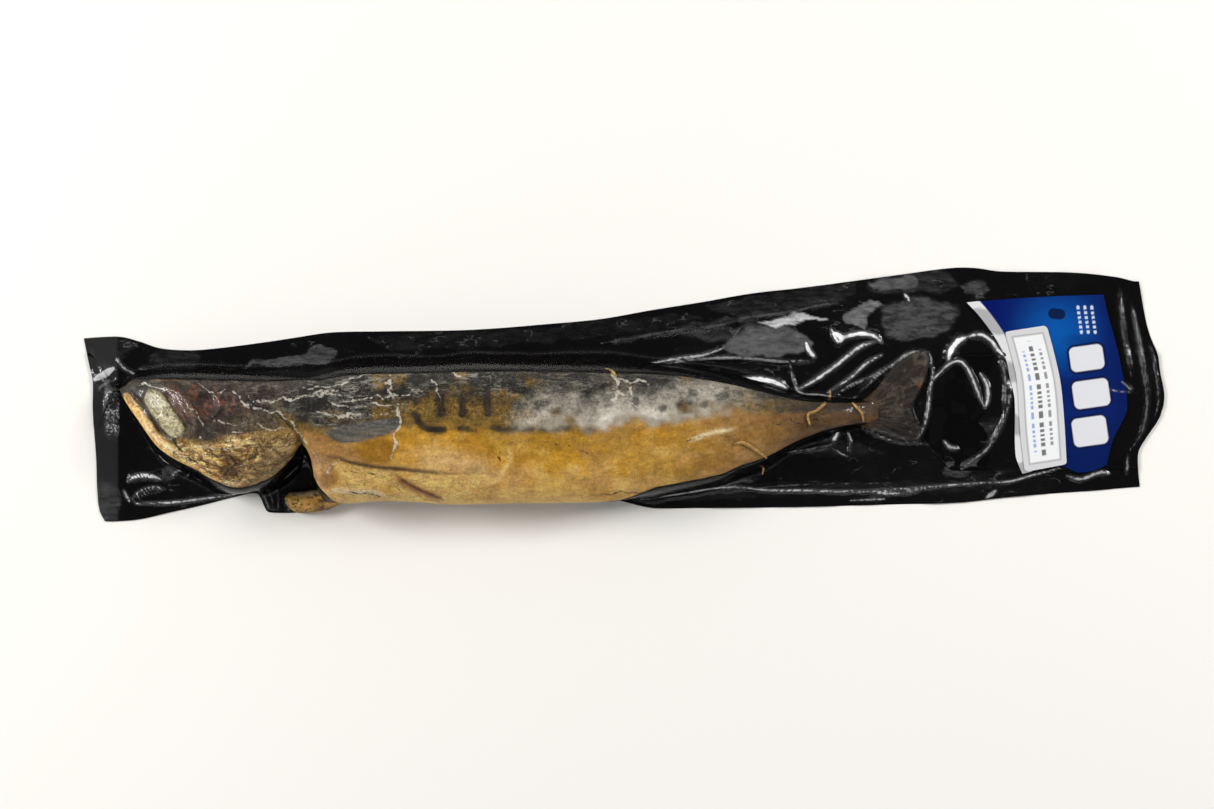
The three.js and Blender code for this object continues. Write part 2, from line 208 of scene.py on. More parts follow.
def skin_relief(x, y):
    """How far the upper side stands over the smooth body: strokes and patches for the jaw, the
    cheek plate, the sunken eye, the gill cover, the overlapping belly walls and fine puckers."""
    rise = 0.9 * stroke(x, y, JAW_TOP, 2.2, 0.1) + 0.7 * stroke(x, y, JAW_LOW, 1.3, 0.1)
    rise -= 1.3 * stroke(x, y, MOUTH, 0.7, 0.15)
    rise += 0.9 * patch(x, y, CHEEK_PLATE, 0.8)
    rise += 0.9 * stroke(x, y, SNOUT_RIDGE, 1.6)
    away = np.hypot(x - EYE[0], (y - EYE[1]) * 1.15)
    rise -= 2.0 * (1 - ease(EYE_SIZE * 0.4, EYE_SIZE, away))
    rise += 0.6 * np.exp(-((away - EYE_SIZE * 1.15) / 1.3) ** 2)
    for line in GILL_FOLDS:
        rise += 0.75 * stroke(x, y, line, 0.9) - 0.5 * stroke(x, y - 1.4, line, 0.8)
    away, along, side = from_line(x, y, GILL_EDGE)
    rise += np.where(side < 0, 1.1, 0) * np.exp(-away / 7) * (x < 84) - 0.9 * np.exp(-(away / 0.8) ** 2)
    away, along, side = from_line(x, y, BELLY_CUT)
    fade = ease(0, 0.12, along) * (1 - ease(0.75, 1, along))
    rise -= fade * np.where(side < 0, 1.4 * np.exp(-away / 9), 0)
    rise -= fade * 0.9 * np.exp(-(away / 0.6) ** 2)
    away, along, side = from_line(x, y, CUT_EDGE)
    rise += 0.9 * stroke(x, y, CUT_EDGE, 1.0)
    rise -= 0.6 * np.where(side < 0, np.exp(-away / 4), 0) * ease(0, 0.3, along)
    rise += 0.8 * stroke(x, y, FLAP_FOLD, 0.9) + 0.7 * stroke(x, y, THROAT_FOLD, 1.0)
    rise += 0.35 * patch(x, y, PECTORAL, 0.5)
    rise += 0.22 * grain(x, y, 9, 11) + 0.10 * grain(x, y, 2.2, 12)
    cheek = ease(30, 80, x) * (1 - ease(60, 95, x))
    return rise + 0.35 * cheek * np.abs(grain(x, y, 4.5, 13))


def ink(red, green, blue):
    """A colour given as it looks on a screen (0 to 255), turned to linear light."""
    screen = np.array([red, green, blue]) / 255
    return np.where(screen <= 0.04045, screen / 12.92, ((screen + 0.055) / 1.055) ** 2.4)


class Paint:
    """Colour laid over a surface in coats: each coat covers by its mask's share."""

    def __init__(self, x, y, colour):
        self.x, self.y = x, y
        self.colour = np.broadcast_to(colour, x.shape + (3,)).copy()

    def coat(self, mask, colour, cover=1.0):
        """Covers with a colour where the mask, from 0 to 1, lets it."""
        share = np.clip(mask * cover, 0, 1)[..., None]
        self.colour += share * (colour - self.colour)

    def area(self, outline, soft, colour, cover, only=1):
        """Coats a filled outline, only where a mask lets it."""
        self.coat(only * patch(self.x, self.y, outline, soft), colour, cover)

    def line(self, points, width, colour, cover, only=1):
        """Coats a stroke along a drawn line, only where a mask lets it."""
        self.coat(only * stroke(self.x, self.y, points, width), colour, cover)


GOLD = ink(182, 134, 38)
GOLD_PALE = ink(216, 180, 104)
GOLD_DEEP = ink(160, 108, 20)
OCHRE = ink(146, 108, 32)
TAN = ink(124, 90, 50)
PINK = ink(190, 146, 92)
OLIVE = ink(106, 82, 34)
BACK_DARK = ink(30, 27, 22)
BACK_GREY = ink(66, 62, 54)
BLOOM = ink(172, 164, 148)
FROST = ink(150, 145, 134)
BAR = ink(34, 28, 22)
VEIN = ink(206, 198, 182)
RUST = ink(142, 84, 42)
SLATE = ink(94, 92, 88)

# Filled areas of the head and the belly, and the dark spots left open in the set fat.
SCUFF = [(137, -9), (150, -8), (166, -12), (168, -18), (150, -17), (138, -14)]
WALL = [(90, -9), (105, -12.5), (126, -15.5), (152, -17.5), (168, -18), (160, -24), (148, -30),
        (120, -32), (95, -32), (89, -24)]
RUDDY = [(26, 20), (32, 22), (44, 22), (54, 17), (60, 10), (54, 5), (44, 6), (36, 8), (28, 12)]
JAW_COVER = [(28, -2), (40, -3.5), (52, -1), (66, 1), (80, 1), (84, -6), (76, -16), (64, -24),
             (50, -27), (36, -19), (24, -9)]
GILL_COVER = [(60, 1), (70, 1), (80.5, -1), (83, -6), (77, -14), (66, -21), (57, -20), (54, -14),
              (62, -8)]
SNOUT_TIP = [(3, 21.5), (8, 23.5), (16, 24), (20, 22), (14, 20.5), (10, 16), (8, 17.5)]
BLOOM_SPOTS = [(181, 13, 3.5, 2.5), (189, 13.5, 3.5, 2.6), (226, 21, 2.4, 3), (231, 15, 2, 3.5),
               (238, 19.5, 2.5, 2.5), (247, 22, 2, 2.5), (256, 19, 2.2, 2), (243, 12, 2, 2),
               (262, 14, 3, 2), (270, 17, 3, 2.4), (204, 22, 5, 2), (215, 24, 4, 2)]

# The wavering line between the golden side and the dark back, and the bars that cross it.
COLOUR_BREAK = [(60, 6), (80, 1.4), (95, -3), (103, -2), (125, 2), (145, 3), (215, 3.4), (224, 4.5),
                (260, 7.5), (287, 9.5), (305, 10.5), (328, 11.5), (340, 12.5)]
SIDE_BARS = [
    ([(133, 11), (134.5, 7), (137, 3.6), (142, 2.4), (147, 2.6)], 1.5),
    ([(144.6, 21), (144.2, 15), (145, 7.6)], 1.9),
    ([(154, 17), (154.6, 12), (154.4, 7.6)], 1.7),
    ([(165.4, 21), (165.6, 14), (166.6, 8)], 1.8),
    ([(177, 15.6), (178.5, 12.6), (180.6, 10.4)], 1.7),
    ([(186, 15.4), (188, 12.6), (190, 10.8)], 2.0),
    ([(106, 23), (108, 19), (106.5, 15)], 1.9),
    ([(113, 25), (112.5, 20), (114.5, 15)], 1.8),
    ([(122, 25), (121.6, 19), (121, 14)], 1.8),
    ([(134, 23), (133, 18), (133.5, 13)], 1.3),
]
# Short dashes below the bars, along the change of colour.
SIDE_DASHES = [[(138, 2.6), (148, 2.4)], [(152, 3.2), (161, 2.6)],
               [(166, 3.6), (180, 3), (200, 3), (214, 2.6)]]
# Pale veins of set fat and pinched film on the skin: the line and its width.
PALE_VEINS = [
    ([(53, 20), (58.5, 14.4), (66, 10.8), (71, 9.6), (75, 11)], 0.75),
    ([(58.5, 14.4), (70, 15.6), (84, 17.6), (100, 20)], 0.7),
    ([(42, 25), (47, 25.6), (53, 25)], 0.6),
    ([(71, 12), (77, 6), (80, 2), (85, -5), (91, -16)], 0.6),
    ([(122, 26), (121.5, 20), (123, 16.5)], 0.7),
    ([(126, 13.6), (126.4, 7), (124.4, -2), (122.6, -10.6)], 0.85),
    ([(147.6, 31), (149, 27.4), (153.6, 23.8)], 0.8),
    ([(141, 25), (143.4, 21), (143.6, 15)], 0.7),
    ([(217, 29.4), (222.6, 26), (222, 20.4), (220.6, 13.6)], 1.0),
    ([(222.6, 26), (228, 24.8), (234, 25.4), (238, 22)], 0.7),
    ([(222, 20), (227, 16), (231, 9)], 0.6),
    ([(228, 24.6), (229, 18), (233, 12)], 0.5),
    ([(26, 20), (33, 13), (38, 4), (37, -2)], 0.45),
    ([(35, 24), (40, 20), (46, 19), (50, 21)], 0.5),
    ([(44, 6), (50, 4.5), (58, 6)], 0.45),
    ([(39, 1), (47, -1), (55, 0.5), (60, -1)], 0.55),
    ([(36, -5), (44, -6.5), (52, -5), (58, -7)], 0.5),
    ([(8, 22), (14, 22.5), (20, 20)], 0.5),
    ([(62, 6), (68, 3), (75, 2)], 0.45),
    ([(100, 14.2), (112, 16), (124, 18), (135, 20)], 0.6),
    ([(92, 14), (104, 12), (118, 13.4), (130, 14.4)], 0.55),
    ([(88, 9.6), (100, 8), (112, 9), (124, 11)], 0.55),
    ([(84, 22), (92, 21), (104, 24.6), (118, 28)], 0.55),
    ([(86, 17.6), (96, 18), (106, 17)], 0.5),
    ([(128, 24), (132, 20), (138, 17.6)], 0.5),
    ([(100, -10.6), (96, -14), (94, -20)], 0.6),
]
# Dark lines along creases and cracks, partly painted shade in the grooves of the mouth, the gill edge
# and the gill folds: the line and its width.
DARK_LINES = [
    (MOUTH, 0.5), ([(10, 12.5), (15, 7), (19, -0.5), (26, -4)], 0.35),
    ([(8, 20), (11, 15), (15, 9), (20, 2), (26, -1.5), (29, -0.5)], 0.45),
    ([(25.5, -1.5), (28, -5), (31, -6.5)], 0.9),
    (GILL_EDGE, 0.4),
    ([(34, -5), (42, -7), (50, -10), (58, -9)], 0.5),
    ([(50, -9), (53, -13), (50, -17), (45, -19)], 0.8),
    ([(36, -10), (43, -12), (48, -15)], 0.5),
    ([(58, -14), (62, -11), (64, -5)], 0.5),
    ([(26, -5), (34, -11), (44, -17), (54, -22)], 0.4),
    ([(60, -1), (63, -6), (61, -12), (64, -17)], 0.5),
    ([(24, 21), (29, 15), (32, 8), (33, 2)], 0.5),
    ([(30, 20), (35, 14), (37, 7), (36, 1)], 0.5),
    ([(40, 21), (45, 17), (52, 15)], 0.6),
    ([(38, 10), (45, 8), (54, 9)], 0.6),
    ([(38, 2), (46, 1), (54, 4)], 0.4),
    ([(170, -3), (180, -2.6), (192, -3.6), (206, -6), (216, -9)], 0.3),
    ([(170, -7), (171, -12), (166, -18)], 0.3),
    ([(208, -29), (216, -25), (228, -26), (240, -24)], 0.4),
    ([(240, -4), (250, -3.4), (262, -0.6), (276, 1)], 0.3),
    ([(96, -14), (108, -16), (120, -19), (128, -25)], 0.3),
    ([(292, 7), (304, 6), (318, 8)], 0.4),
    ([(298, 10), (312, 11), (326, 12)], 0.35),
    ([(100, -26), (110, -25), (118, -28)], 0.3),
]


MARK_REACH = 3.0


def marks(x, y, lines):
    """Two fields that draw a set of thin lines: how near the closest line is (1 on it, 0 at
    the reach) and half its width over the reach, narrowing at its ends."""
    near, half = np.zeros(x.shape), np.zeros(x.shape)
    for line, width in lines:
        away, along = from_line(x, y, line)[:2]
        field = np.clip(1 - away / MARK_REACH, 0, 1)
        ends = np.sqrt(np.clip(np.minimum(along, 1 - along) * 5, 0, 1))
        half = np.where(field > near, width * (0.1 + 0.6 * ends) / MARK_REACH, half)
        near = np.maximum(near, field)
    return near, half


def skin_paint(x, y, up):
    """The skin's colour and how strongly it is mottled: smoke gold below a wavering line and
    dark grey-olive above it, then bars, dashes, set fat, the head's plates and belly walls,
    with a painted highlight along the belly's lower edge and painted shade along the belly cut."""
    wander = 1.6 * grain(x, y, 12, 21) + 1.2 * grain(x * 0.5, y, 3, 22)
    over = y + wander - through(COLOUR_BREAK, x)
    paint = Paint(x, y, GOLD)
    paint.coat(ease(-0.2, 0.9, grain(x, y, 22, 31)), GOLD_DEEP, 0.45)
    paint.coat(ease(0.2, 1.0, grain(x, y * 1.4, 15, 32)), PINK, 0.45)
    paint.coat(ease(0.1, 0.8, grain(x, y, 7, 33)), GOLD_PALE, 0.3)
    facet = ease(0.0, 0.1, grain(x * 0.55, y * 0.9 + 0.1 * x, 11, 131, 2))
    paint.coat(facet * (1 - ease(0.25, 0.6, grain(x, y, 5, 132))), GOLD_PALE, 0.20)
    paint.coat(ease(0.0, 0.08, grain(x * 0.5 + 0.3 * y, y, 8, 133, 2)), GOLD_DEEP, 0.28)
    paint.line([(174, -3), (175.5, -10), (171, -18), (164, -23)], 1.2, ink(220, 186, 112), 0.75)
    # Painted highlight: paler gold along the belly's lower edge.
    paint.coat((1 - ease(-27, -19, y)) * ease(120, 150, x) * (1 - ease(200, 230, x)), GOLD_PALE,
               0.5)
    paint.coat(ease(-12, -2, y) * ease(150, 170, x) * (1 - ease(220, 240, x)), OCHRE, 0.6)
    paint.area(SCUFF, 6, ink(202, 168, 120), 0.55)
    paint.coat(ease(228, 285, x), TAN, 0.75)
    paint.coat(ease(0.15, 0.9, grain(x, y * 2, 9, 34)) * ease(225, 260, x), PINK, 0.4)
    paint.coat(ease(-2.5, 3, over), OLIVE)
    start = 4 + 9 * ease(124, 136, x) * (1 - ease(176, 192, x))
    paint.coat(ease(start, start + 5, over) * ease(-0.9, 0.0, grain(x, y, 9, 35)), BACK_DARK)
    paint.coat(ease(0.0, 0.6, grain(x * 0.8, y * 1.6, 5, 36)) * ease(start - 2, start + 5, over),
               BACK_GREY, 0.5)
    paint.coat(ease(110, 118, x) * (1 - ease(130, 150, x)) * ease(5, 8, y) * (1 - ease(16, 20, y)),
               OLIVE, 0.4)
    paint.coat(ease(9, 15, over) * ease(-0.6, 0.4, grain(x, y * 2, 9, 135)), BACK_DARK, 0.8)
    for line, width in SIDE_BARS:
        bar = 1.6 * stroke(x + 0.35 * wander, y, line, width, 0.12)
        paint.coat(np.minimum(bar, 1), BAR, 0.9)
    for line in SIDE_DASHES:
        dash = 1.5 * stroke(x, y + 0.3 * wander, line, 1.3, 0.1)
        paint.coat(np.minimum(dash, 1) * ease(-0.8, -0.1, grain(x, y, 4, 48)), BAR, 0.85)

    bloom = ease(163, 205, x) * (1 - ease(258, 292, x))
    bloom = bloom * ease(-3, 4, over + 1.5 * grain(x, y, 3, 139))
    bloom = bloom * (1 - ease(10, 19, over))
    paint.coat(bloom * ease(-1.0, 0.4, grain(x, y, 7, 37) + 0.2), BLOOM, 0.85)
    paint.coat(bloom * ease(0.0, 0.7, grain(x, y, 11, 137)) * (1 - ease(5, 10, over)),
               ink(208, 200, 186), 0.8)
    for place in BLOOM_SPOTS:
        away = np.hypot((x - place[0]) / place[2], (y - place[1]) / place[3])
        paint.coat(1 - ease(0.5, 1.25, away + 0.3 * grain(x, y, 3, 138, 2)), ink(74, 70, 60), 0.85)
    paint.coat(ease(0.0, 0.6, grain(x, y, 4, 39)) * ease(262, 285, x) * ease(0.5, 3, over),
               ink(62, 54, 44), 0.8)
    low_side = 1 - ease(-1.5, 2, over)
    paint.coat(ease(280, 312, x) * low_side, ink(84, 60, 34), 0.92)
    paint.coat(ease(280, 312, x) * (1 - low_side), ink(50, 43, 34), 0.9)
    paint.coat(ease(318, 334, x), ink(70, 48, 28), 0.85)
    paint.coat(ease(284, 322, x) * low_side * ease(0.0, 0.6, grain(x * 0.5, y * 1.5, 3, 49)),
               ink(108, 76, 40), 0.55)
    paint.coat(ease(284, 322, x) * ease(0.1, 0.6, grain(x * 0.5, y * 1.5, 3, 149)), ink(48, 35, 24),
               0.6)

    paint.line([(277, 3), (284, 5.5), (296, 8), (308, 9.5)], 0.7, ink(124, 80, 36), 0.7)
    paint.line([(254, -3), (263, 0.5), (276, 3)], 1.0, ink(228, 206, 160), 0.9)
    wall = patch(x, y, WALL, 1.5)
    paint.coat(wall, GOLD_PALE, 0.75)
    paint.coat(wall * ease(0, 0.8, grain(x, y, 8, 40)), ink(200, 152, 56), 0.6)
    # Painted shade: a dark line in the belly cut's crease, and a browner band fading out below it,
    # where the lower wall lies sunk under the upper.
    away, along, side = from_line(x, y, BELLY_CUT)
    paint.coat(np.exp(-(away / 1.0) ** 2) * (1 - ease(0.55, 0.9, along)), ink(54, 34, 16), 0.95)
    paint.coat(np.where(side < 0, np.exp(-away / 1.8), 0) * (1 - ease(0.4, 0.8, along)),
               ink(120, 84, 34), 0.5)
    paint.line(CUT_EDGE, 1.9, RUST, 0.95)
    paint.coat(stroke(x - 1.3, y, CUT_EDGE, 0.7), ink(70, 40, 20), 0.8)
    paint.line(FLAP_FOLD, 1.2, ink(206, 184, 152), 0.8)
    paint.area([(107, -2.5), (118, -1), (124, -4), (122, -13), (110, -12), (104, -8)], 2.5,
               ink(136, 92, 12), 0.85)
    paint.area([(84, 1.5), (93, 0), (103, -5), (112, -12), (101, -10.5), (90, -13), (86, -6)], 1.5,
               ink(146, 104, 58), 0.85)
    paint.area([(86, -10), (93, -9), (97, -14), (94, -24), (89, -24)], 1.5, ink(160, 120, 84), 0.7)
    paint.area([(91, -17), (98, -15), (100, -19), (96, -23), (91, -22)], 1.5, ink(140, 92, 40), 0.6)
    fin = patch(x, y, PECTORAL, 0.6)
    paint.coat(fin, SLATE, 0.9)
    away, along, side = from_line(x, y, [(91, -1), (128, 5)])
    rays = 0.5 + 0.5 * np.sin(side * away * (5.2 - 0.066 * (x - 93)))
    paint.coat(fin * rays, ink(58, 56, 52), 0.65)

    head = 1 - ease(60, 84, x - 0.25 * (y - 10))
    paint.coat(head, ink(48, 39, 30), 0.95)
    paint.coat(head * ease(-0.3, 0.5, grain(x, y, 6, 51)), ink(34, 27, 22), 0.85)
    paint.coat(head * ease(0.0, 0.6, grain(x, y, 3.5, 52)), ink(96, 86, 72), 0.6)
    paint.area([(34, 24), (50, 22), (66, 14), (60, 4), (44, 2), (34, 6)], 3, ink(44, 31, 23), 0.75,
               head)
    red = ease(-0.2, 0.5, grain(x, y * 1.4, 5, 153)) * ease(-0.8, 0.2, grain(x, y, 2.4, 154))
    paint.area(RUDDY, 3, ink(96, 58, 38), 0.8, head * red)
    paint.area([(58, 10), (70, 8), (80, 2), (72, -1), (60, 1), (50, 1)], 3, ink(92, 80, 62), 0.7,
               head)
    low = patch(x, y, JAW_COVER, 2.0)
    paint.coat(low, ink(178, 142, 80), 0.95)
    paint.coat(low * ease(0.0, 0.5, grain(x * 0.7, y * 1.3, 5, 53)), ink(128, 88, 30), 0.8)
    paint.coat(low * ease(0.1, 0.5, grain(x * 0.7, y * 1.3, 4, 54)), ink(228, 202, 146), 0.85)
    cover = patch(x, y, GILL_COVER, 1.5)
    paint.coat(cover, ink(146, 120, 72), 0.85)
    paint.coat(cover * ease(0.0, 0.8, grain(x, y, 6, 55)), ink(104, 84, 48), 0.6)
    for line in GILL_FOLDS:
        paint.coat(stroke(x, y + 0.5, line, 0.9), ink(222, 190, 122), 0.7)
    paint.area([(44, -15), (50, -13), (54, -17), (50, -20), (45, -19)], 1, ink(84, 52, 10), 0.85)
    paint.area([(47, -7), (53, -9), (57, -14), (54, -17), (49, -13)], 1, ink(72, 44, 16), 0.75)
    paint.area([(27, 19), (32, 15), (35.5, 8), (34.5, 1), (32, 4), (29, 12)], 1.0, ink(104, 88, 74),
               0.7)
    paint.area([(20, 22), (27, 21), (33, 12), (31, 6), (26, 12)], 1.2, ink(92, 58, 42), 0.7)
    paint.area(CHEEK_PLATE, 0.7, ink(170, 160, 124), 0.97)
    paint.coat(patch(x, y, CHEEK_PLATE, 0.7) * ease(0, 0.8, grain(x, y, 4, 56)), ink(206, 196, 164),
               0.7)
    paint.area(SNOUT_TIP, 1.0, ink(58, 54, 47), 0.9)
    jaw = np.clip(stroke(x, y, JAW_TOP, 1.9, 0.05) + stroke(x, y, JAW_LOW, 2.0, 0.05), 0, 1)
    paint.coat(jaw, ink(218, 180, 112), 0.95)
    paint.coat(jaw * ease(0.1, 0.6, grain(x, y, 5, 157)), ink(160, 112, 52), 0.7)
    paint.line([(9, 8), (17, -1), (26, -7.6), (37, -13.6)], 0.9, ink(232, 214, 174), 0.8)
    paint.line([(17, 24.8), (24, 25.4), (31, 25)], 0.9, ink(134, 84, 34), 0.8)

    under = 1 - ease(-0.35, 0.25, up)
    paint.coat(under * ease(-2, 3, over), ink(52, 48, 42), 0.75)
    paint.coat(under * (1 - ease(-2, 3, over)), ink(150, 108, 44), 0.6)
    rough = np.clip(0.2 + 0.8 * ease(0, 8, over) + head - 0.6 * bloom, 0, 1)
    return np.concatenate([paint.colour, rough[..., None]], axis=-1)


def skin_cover(x, y, up):
    """Where the fine patterns lie: pale frost lines over the back and the head, dark crinkles
    on the jaw cover, and the dark flecks of the belly."""
    over = y - through(COLOUR_BREAK, x)
    open_bars = ease(126, 136, x) * (1 - ease(172, 186, x))
    frost = ease(3 + 9 * open_bars, 9 + 9 * open_bars, over)
    frost = frost * ease(30, 50, x) * (1 - ease(320, 334, x))
    frost = frost * (0.45 + 0.55 * ease(-0.4, 0.4, grain(x, y, 11, 45)))
    frost *= 1 - 0.5 * (1 - ease(60, 84, x))
    frost += 0.15 * patch(x, y, SNOUT_TIP, 1.0)
    crinkle = patch(x, y, JAW_COVER, 1.5) + 0.4 * patch(x, y, CHEEK_PLATE, 1)
    crinkle += 0.4 * patch(x, y, WALL, 1.5)
    crinkle += 0.5 * ease(300, 320, x)
    return np.stack([np.clip(frost, 0, 1) * (up > -0.1), np.clip(crinkle, 0, 1),
                     1 - ease(0, 4, over)], axis=-1)


def mesh_piece(name, grids, wrap=False):
    """A mesh from one or more grids of places, rows by columns by three, in millimetres from
    the snout: four-sided faces between neighbours, the last column joined to the first if
    wrap is set, and the ring at each end of a wrapped grid closed by a fan."""
    verts, faces, start = [], [], 0
    for grid in grids:
        rows, columns = grid.shape[:2]
        number = start + np.arange(rows * columns).reshape(rows, columns)
        if wrap:
            number = np.concatenate([number, number[:, :1]], axis=1)
        faces.append(np.stack([number[:-1, :-1], number[1:, :-1], number[1:, 1:], number[:-1, 1:]],
                              axis=-1).reshape(-1, 4))
        verts.append(grid.reshape(-1, 3))
        start += rows * columns
        if wrap:
            for row, flip in ((0, 1), (rows - 1, -1)):
                ring = number[row][::flip]
                verts.append(grid[row].mean(axis=0)[None])
                faces.append(np.stack([np.full(columns, start), ring[:-1], ring[1:], ring[1:]],
                                      axis=1))
                start += 1
    verts = (np.concatenate(verts) + (SNOUT_X, MIDDLE_Y, 0)) * MM
    corners = [face[:3] if face[2] == face[3] else face for face in np.concatenate(faces).tolist()]
    mesh = bpy.data.meshes.new(name)
    mesh.from_pydata(verts.tolist(), [], corners)
    mesh.polygons.foreach_set("use_smooth", np.ones(len(mesh.polygons), bool))
    mesh.update()
    piece = bpy.data.objects.new(name, mesh)
    bpy.context.scene.collection.objects.link(piece)
    return piece


def colour_points(piece, name, colour):
    """Puts a colour (red, green, blue, and a mask in alpha) on the mesh's points."""
    count = len(piece.data.vertices)
    values = np.ones((count, 4), np.float32)
    values[:, :colour.shape[-1]] = colour.reshape(-1, colour.shape[-1])
    layer = piece.data.attributes.new(name, "FLOAT_COLOR", "POINT")
    layer.data.foreach_set("color", values.ravel())


def with_ends(values):
    """A wrapped grid's values as rows, and its first and last again for the two closing points."""
    rows = values.reshape(-1, values.shape[-1])
    return np.concatenate([rows, rows[:1], rows[-1:]])


class Wire:
    """A shader node's output that Python's operators work on, each adding one Math node."""

    def __init__(self, tree, socket=None):
        self.tree, self.socket = tree, socket

    def node(self, kind, settings=(), inputs=(), output=0):
        """Adds a node: its settings first, then values or wires in its sockets."""
        made = self.tree.nodes.new("ShaderNode" + kind)
        for name, value in dict(settings).items():
            setattr(made, name, value)
        for name, value in dict(inputs).items():
            if isinstance(value, Wire):
                self.tree.links.new(value.socket, made.inputs[name])
            else:
                made.inputs[name].default_value = value
        return Wire(self.tree, made.outputs[output])

    def math(self, operation, *values, clamp=False):
        """Adds a Math node on numbers or wires."""
        return self.node("Math", {"operation": operation, "use_clamp": clamp}, enumerate(values))

    def __add__(self, other):
        return self.math("ADD", self, other)

    def __sub__(self, other):
        return self.math("SUBTRACT", self, other)

    def __rsub__(self, other):
        return self.math("SUBTRACT", other, self)

    def __mul__(self, other):
        return self.math("MULTIPLY", self, other)

    __radd__, __rmul__ = __add__, __mul__

    def between(self, low, high):
        """0 below low, 1 above high, smooth between."""
        return self.node("MapRange", {"interpolation_type": "SMOOTHSTEP"},
                         {"Value": self, "From Min": low, "From Max": high})


def new_look(name):
    """A material with an empty node tree, and a wire to build on."""
    material = bpy.data.materials.new(name)
    material.use_nodes = True
    material.node_tree.nodes.clear()
    return material, Wire(material.node_tree)


def noise(start, where, scale, detail=3.0, stretch=(1, 1, 1)):
    """Cloudy noise, 0 to 1, on object coordinates in metres."""
    mapped = start.node("Mapping", {}, {"Vector": where, "Scale": stretch})
    return start.node("TexNoise", {}, {"Vector": mapped, "Scale": scale, "Detail": detail,
                                       "Roughness": 0.6})


def blend(start, first, second, share, how="MIX"):
    """A mix of two colours."""
    return start.node("Mix", {"data_type": "RGBA", "blend_type": how},
                      {0: share, 6: first, 7: second}, output=2)


def finish_look(start, surface):
    """Wires a shader to the material's output."""
    target = start.tree.nodes.new("ShaderNodeOutputMaterial")
    start.tree.links.new(surface.socket, target.inputs["Surface"])


def ridge(cloud, width):
    """Thin lines along the places where a noise passes its middle value."""
    away = cloud.math("ABSOLUTE", cloud - 0.5)
    return 1 - away.between(width * 0.35, width)


def skin_look(name, bump=0.0003):
    """Smoked skin: the painted colour, mottled at three sizes, then the drawn pale and dark
    lines with ragged edges, a fine net of frost, dark crinkles and flecks; the dark lines and
    crinkles are partly painted shade in the skin's creases."""
    material, start = new_look(name)
    where = start.node("TexCoord", output="Object")

    def channel(attribute, output):
        return start.node("Attribute", {"attribute_name": attribute}, output=output)

    def parts(attribute):
        packed = channel(attribute, "Color")
        return [start.node("SeparateColor", {}, {0: packed}, output=k) for k in range(3)]

    paint, rough = channel("paint", "Color"), channel("paint", "Alpha")
    near, half, dark_near = parts("lines")
    dark_half = channel("lines", "Alpha")
    frost, crinkle, gold = parts("cover")
    fine, small = noise(start, where, 1900, 3), noise(start, where, 700, 3)
    streak, blotch = noise(start, where, 420, 4, (0.35, 1, 1)), noise(start, where, 160, 5)
    colour = paint
    for cloud, share in ((blotch, 0.25), (streak, 0.12 + rough * 0.2), (small, rough * 0.6 + 0.08),
                         (fine, rough * 0.5 + 0.12)):
        colour = blend(start, colour, (cloud - 0.5) * 2.6 + 0.5, share, "OVERLAY")
    ragged = (fine - 0.5) * 1.0 + (small - 0.5) * 1.8 + (streak - 0.5) * 1.2
    pale = ((near + half - 1) * 3 + ragged).between(-0.1, 0.4)
    dark = ((dark_near + dark_half - 1) * 3 + ragged).between(-0.12, 0.3)
    long_net = ridge(noise(start, where, 150, 4, (0.3, 1.5, 1)), 0.028)
    short_net = ridge(noise(start, where, 230, 3), 0.022)
    net = start.math("MAXIMUM", long_net, short_net * 0.7) * blotch.between(0.38, 0.6)
    grit = small.between(0.58, 0.70) * 0.35
    frosted = start.math("MAXIMUM", net, grit) * frost
    # Dark crinkle lines, partly painted shade: darker where the bump sinks them into creases.
    crinkles_and_shade = start.math("MAXIMUM", ridge(noise(start, where, 170, 4, (0.7, 1.3, 1)), 0.03),
                        ridge(noise(start, where, 420, 3, (0.7, 1.3, 1)), 0.035) * 0.7) * crinkle
    flecks = noise(start, where, 520, 2).between(0.69, 0.74) * gold
    colour = blend(start, colour, (*ink(66, 40, 16), 1), crinkles_and_shade * 0.85)
    colour = blend(start, colour, (*ink(84, 56, 22), 1), flecks * 0.6)
    # The dark lines, partly painted shade in the creases they follow.
    colour = blend(start, colour, (*ink(36, 25, 16), 1), dark * 0.9)
    colour = blend(start, colour, (*FROST, 1), frosted * 0.75)
    colour = blend(start, colour, (*VEIN, 1), pale * 0.75)
    height = (fine * 0.4 + small * 0.5 + streak * 0.5) * (rough * 0.7 + 0.5)
    height = height + frosted * 0.4 + pale * 0.9 - crinkles_and_shade * 0.5 - dark * 0.6
    normal = start.node("Bump", {}, {"Height": height, "Strength": 0.7, "Distance": bump})
    surface = start.node("BsdfPrincipled", {}, {
        "Base Color": colour, "Roughness": 0.42 + 0.2 * streak, "Normal": normal, "IOR": 1.28})
    finish_look(start, surface)
    return material


STATIONS = 600
UPPER, LOWER = 126, 32
CLOSER_AT_SNOUT = 1.08
BEND = 1.5
along = np.linspace(0, 1, STATIONS) ** CLOSER_AT_SNOUT * BODY_END
ring = np.concatenate([np.linspace(0, math.pi, UPPER, endpoint=False),
                       np.linspace(math.pi, 2 * math.pi, LOWER, endpoint=False)])
across = fish_section(along[:, None])
body_y, body_z = section_place(across, ring[None], REST)
body_x = np.broadcast_to(along[:, None], body_y.shape)
upward = np.broadcast_to(np.sin(ring)[None], body_y.shape)
lift_by = skin_relief(body_x, body_y) * ease(0.0, 0.45, upward) * ease(0, 6, body_x)
body = mesh_piece("mackerel_body", [np.stack([body_x, body_y, body_z + lift_by], axis=-1)],
                  wrap=True)
bent_x = body_x + BEND * grain(body_x, body_y, 5, 91, 3)
bent_y = body_y + BEND * grain(body_x, body_y, 5, 92, 3)
line_fields = [*marks(bent_x, bent_y, PALE_VEINS), *marks(bent_x, bent_y, DARK_LINES)]
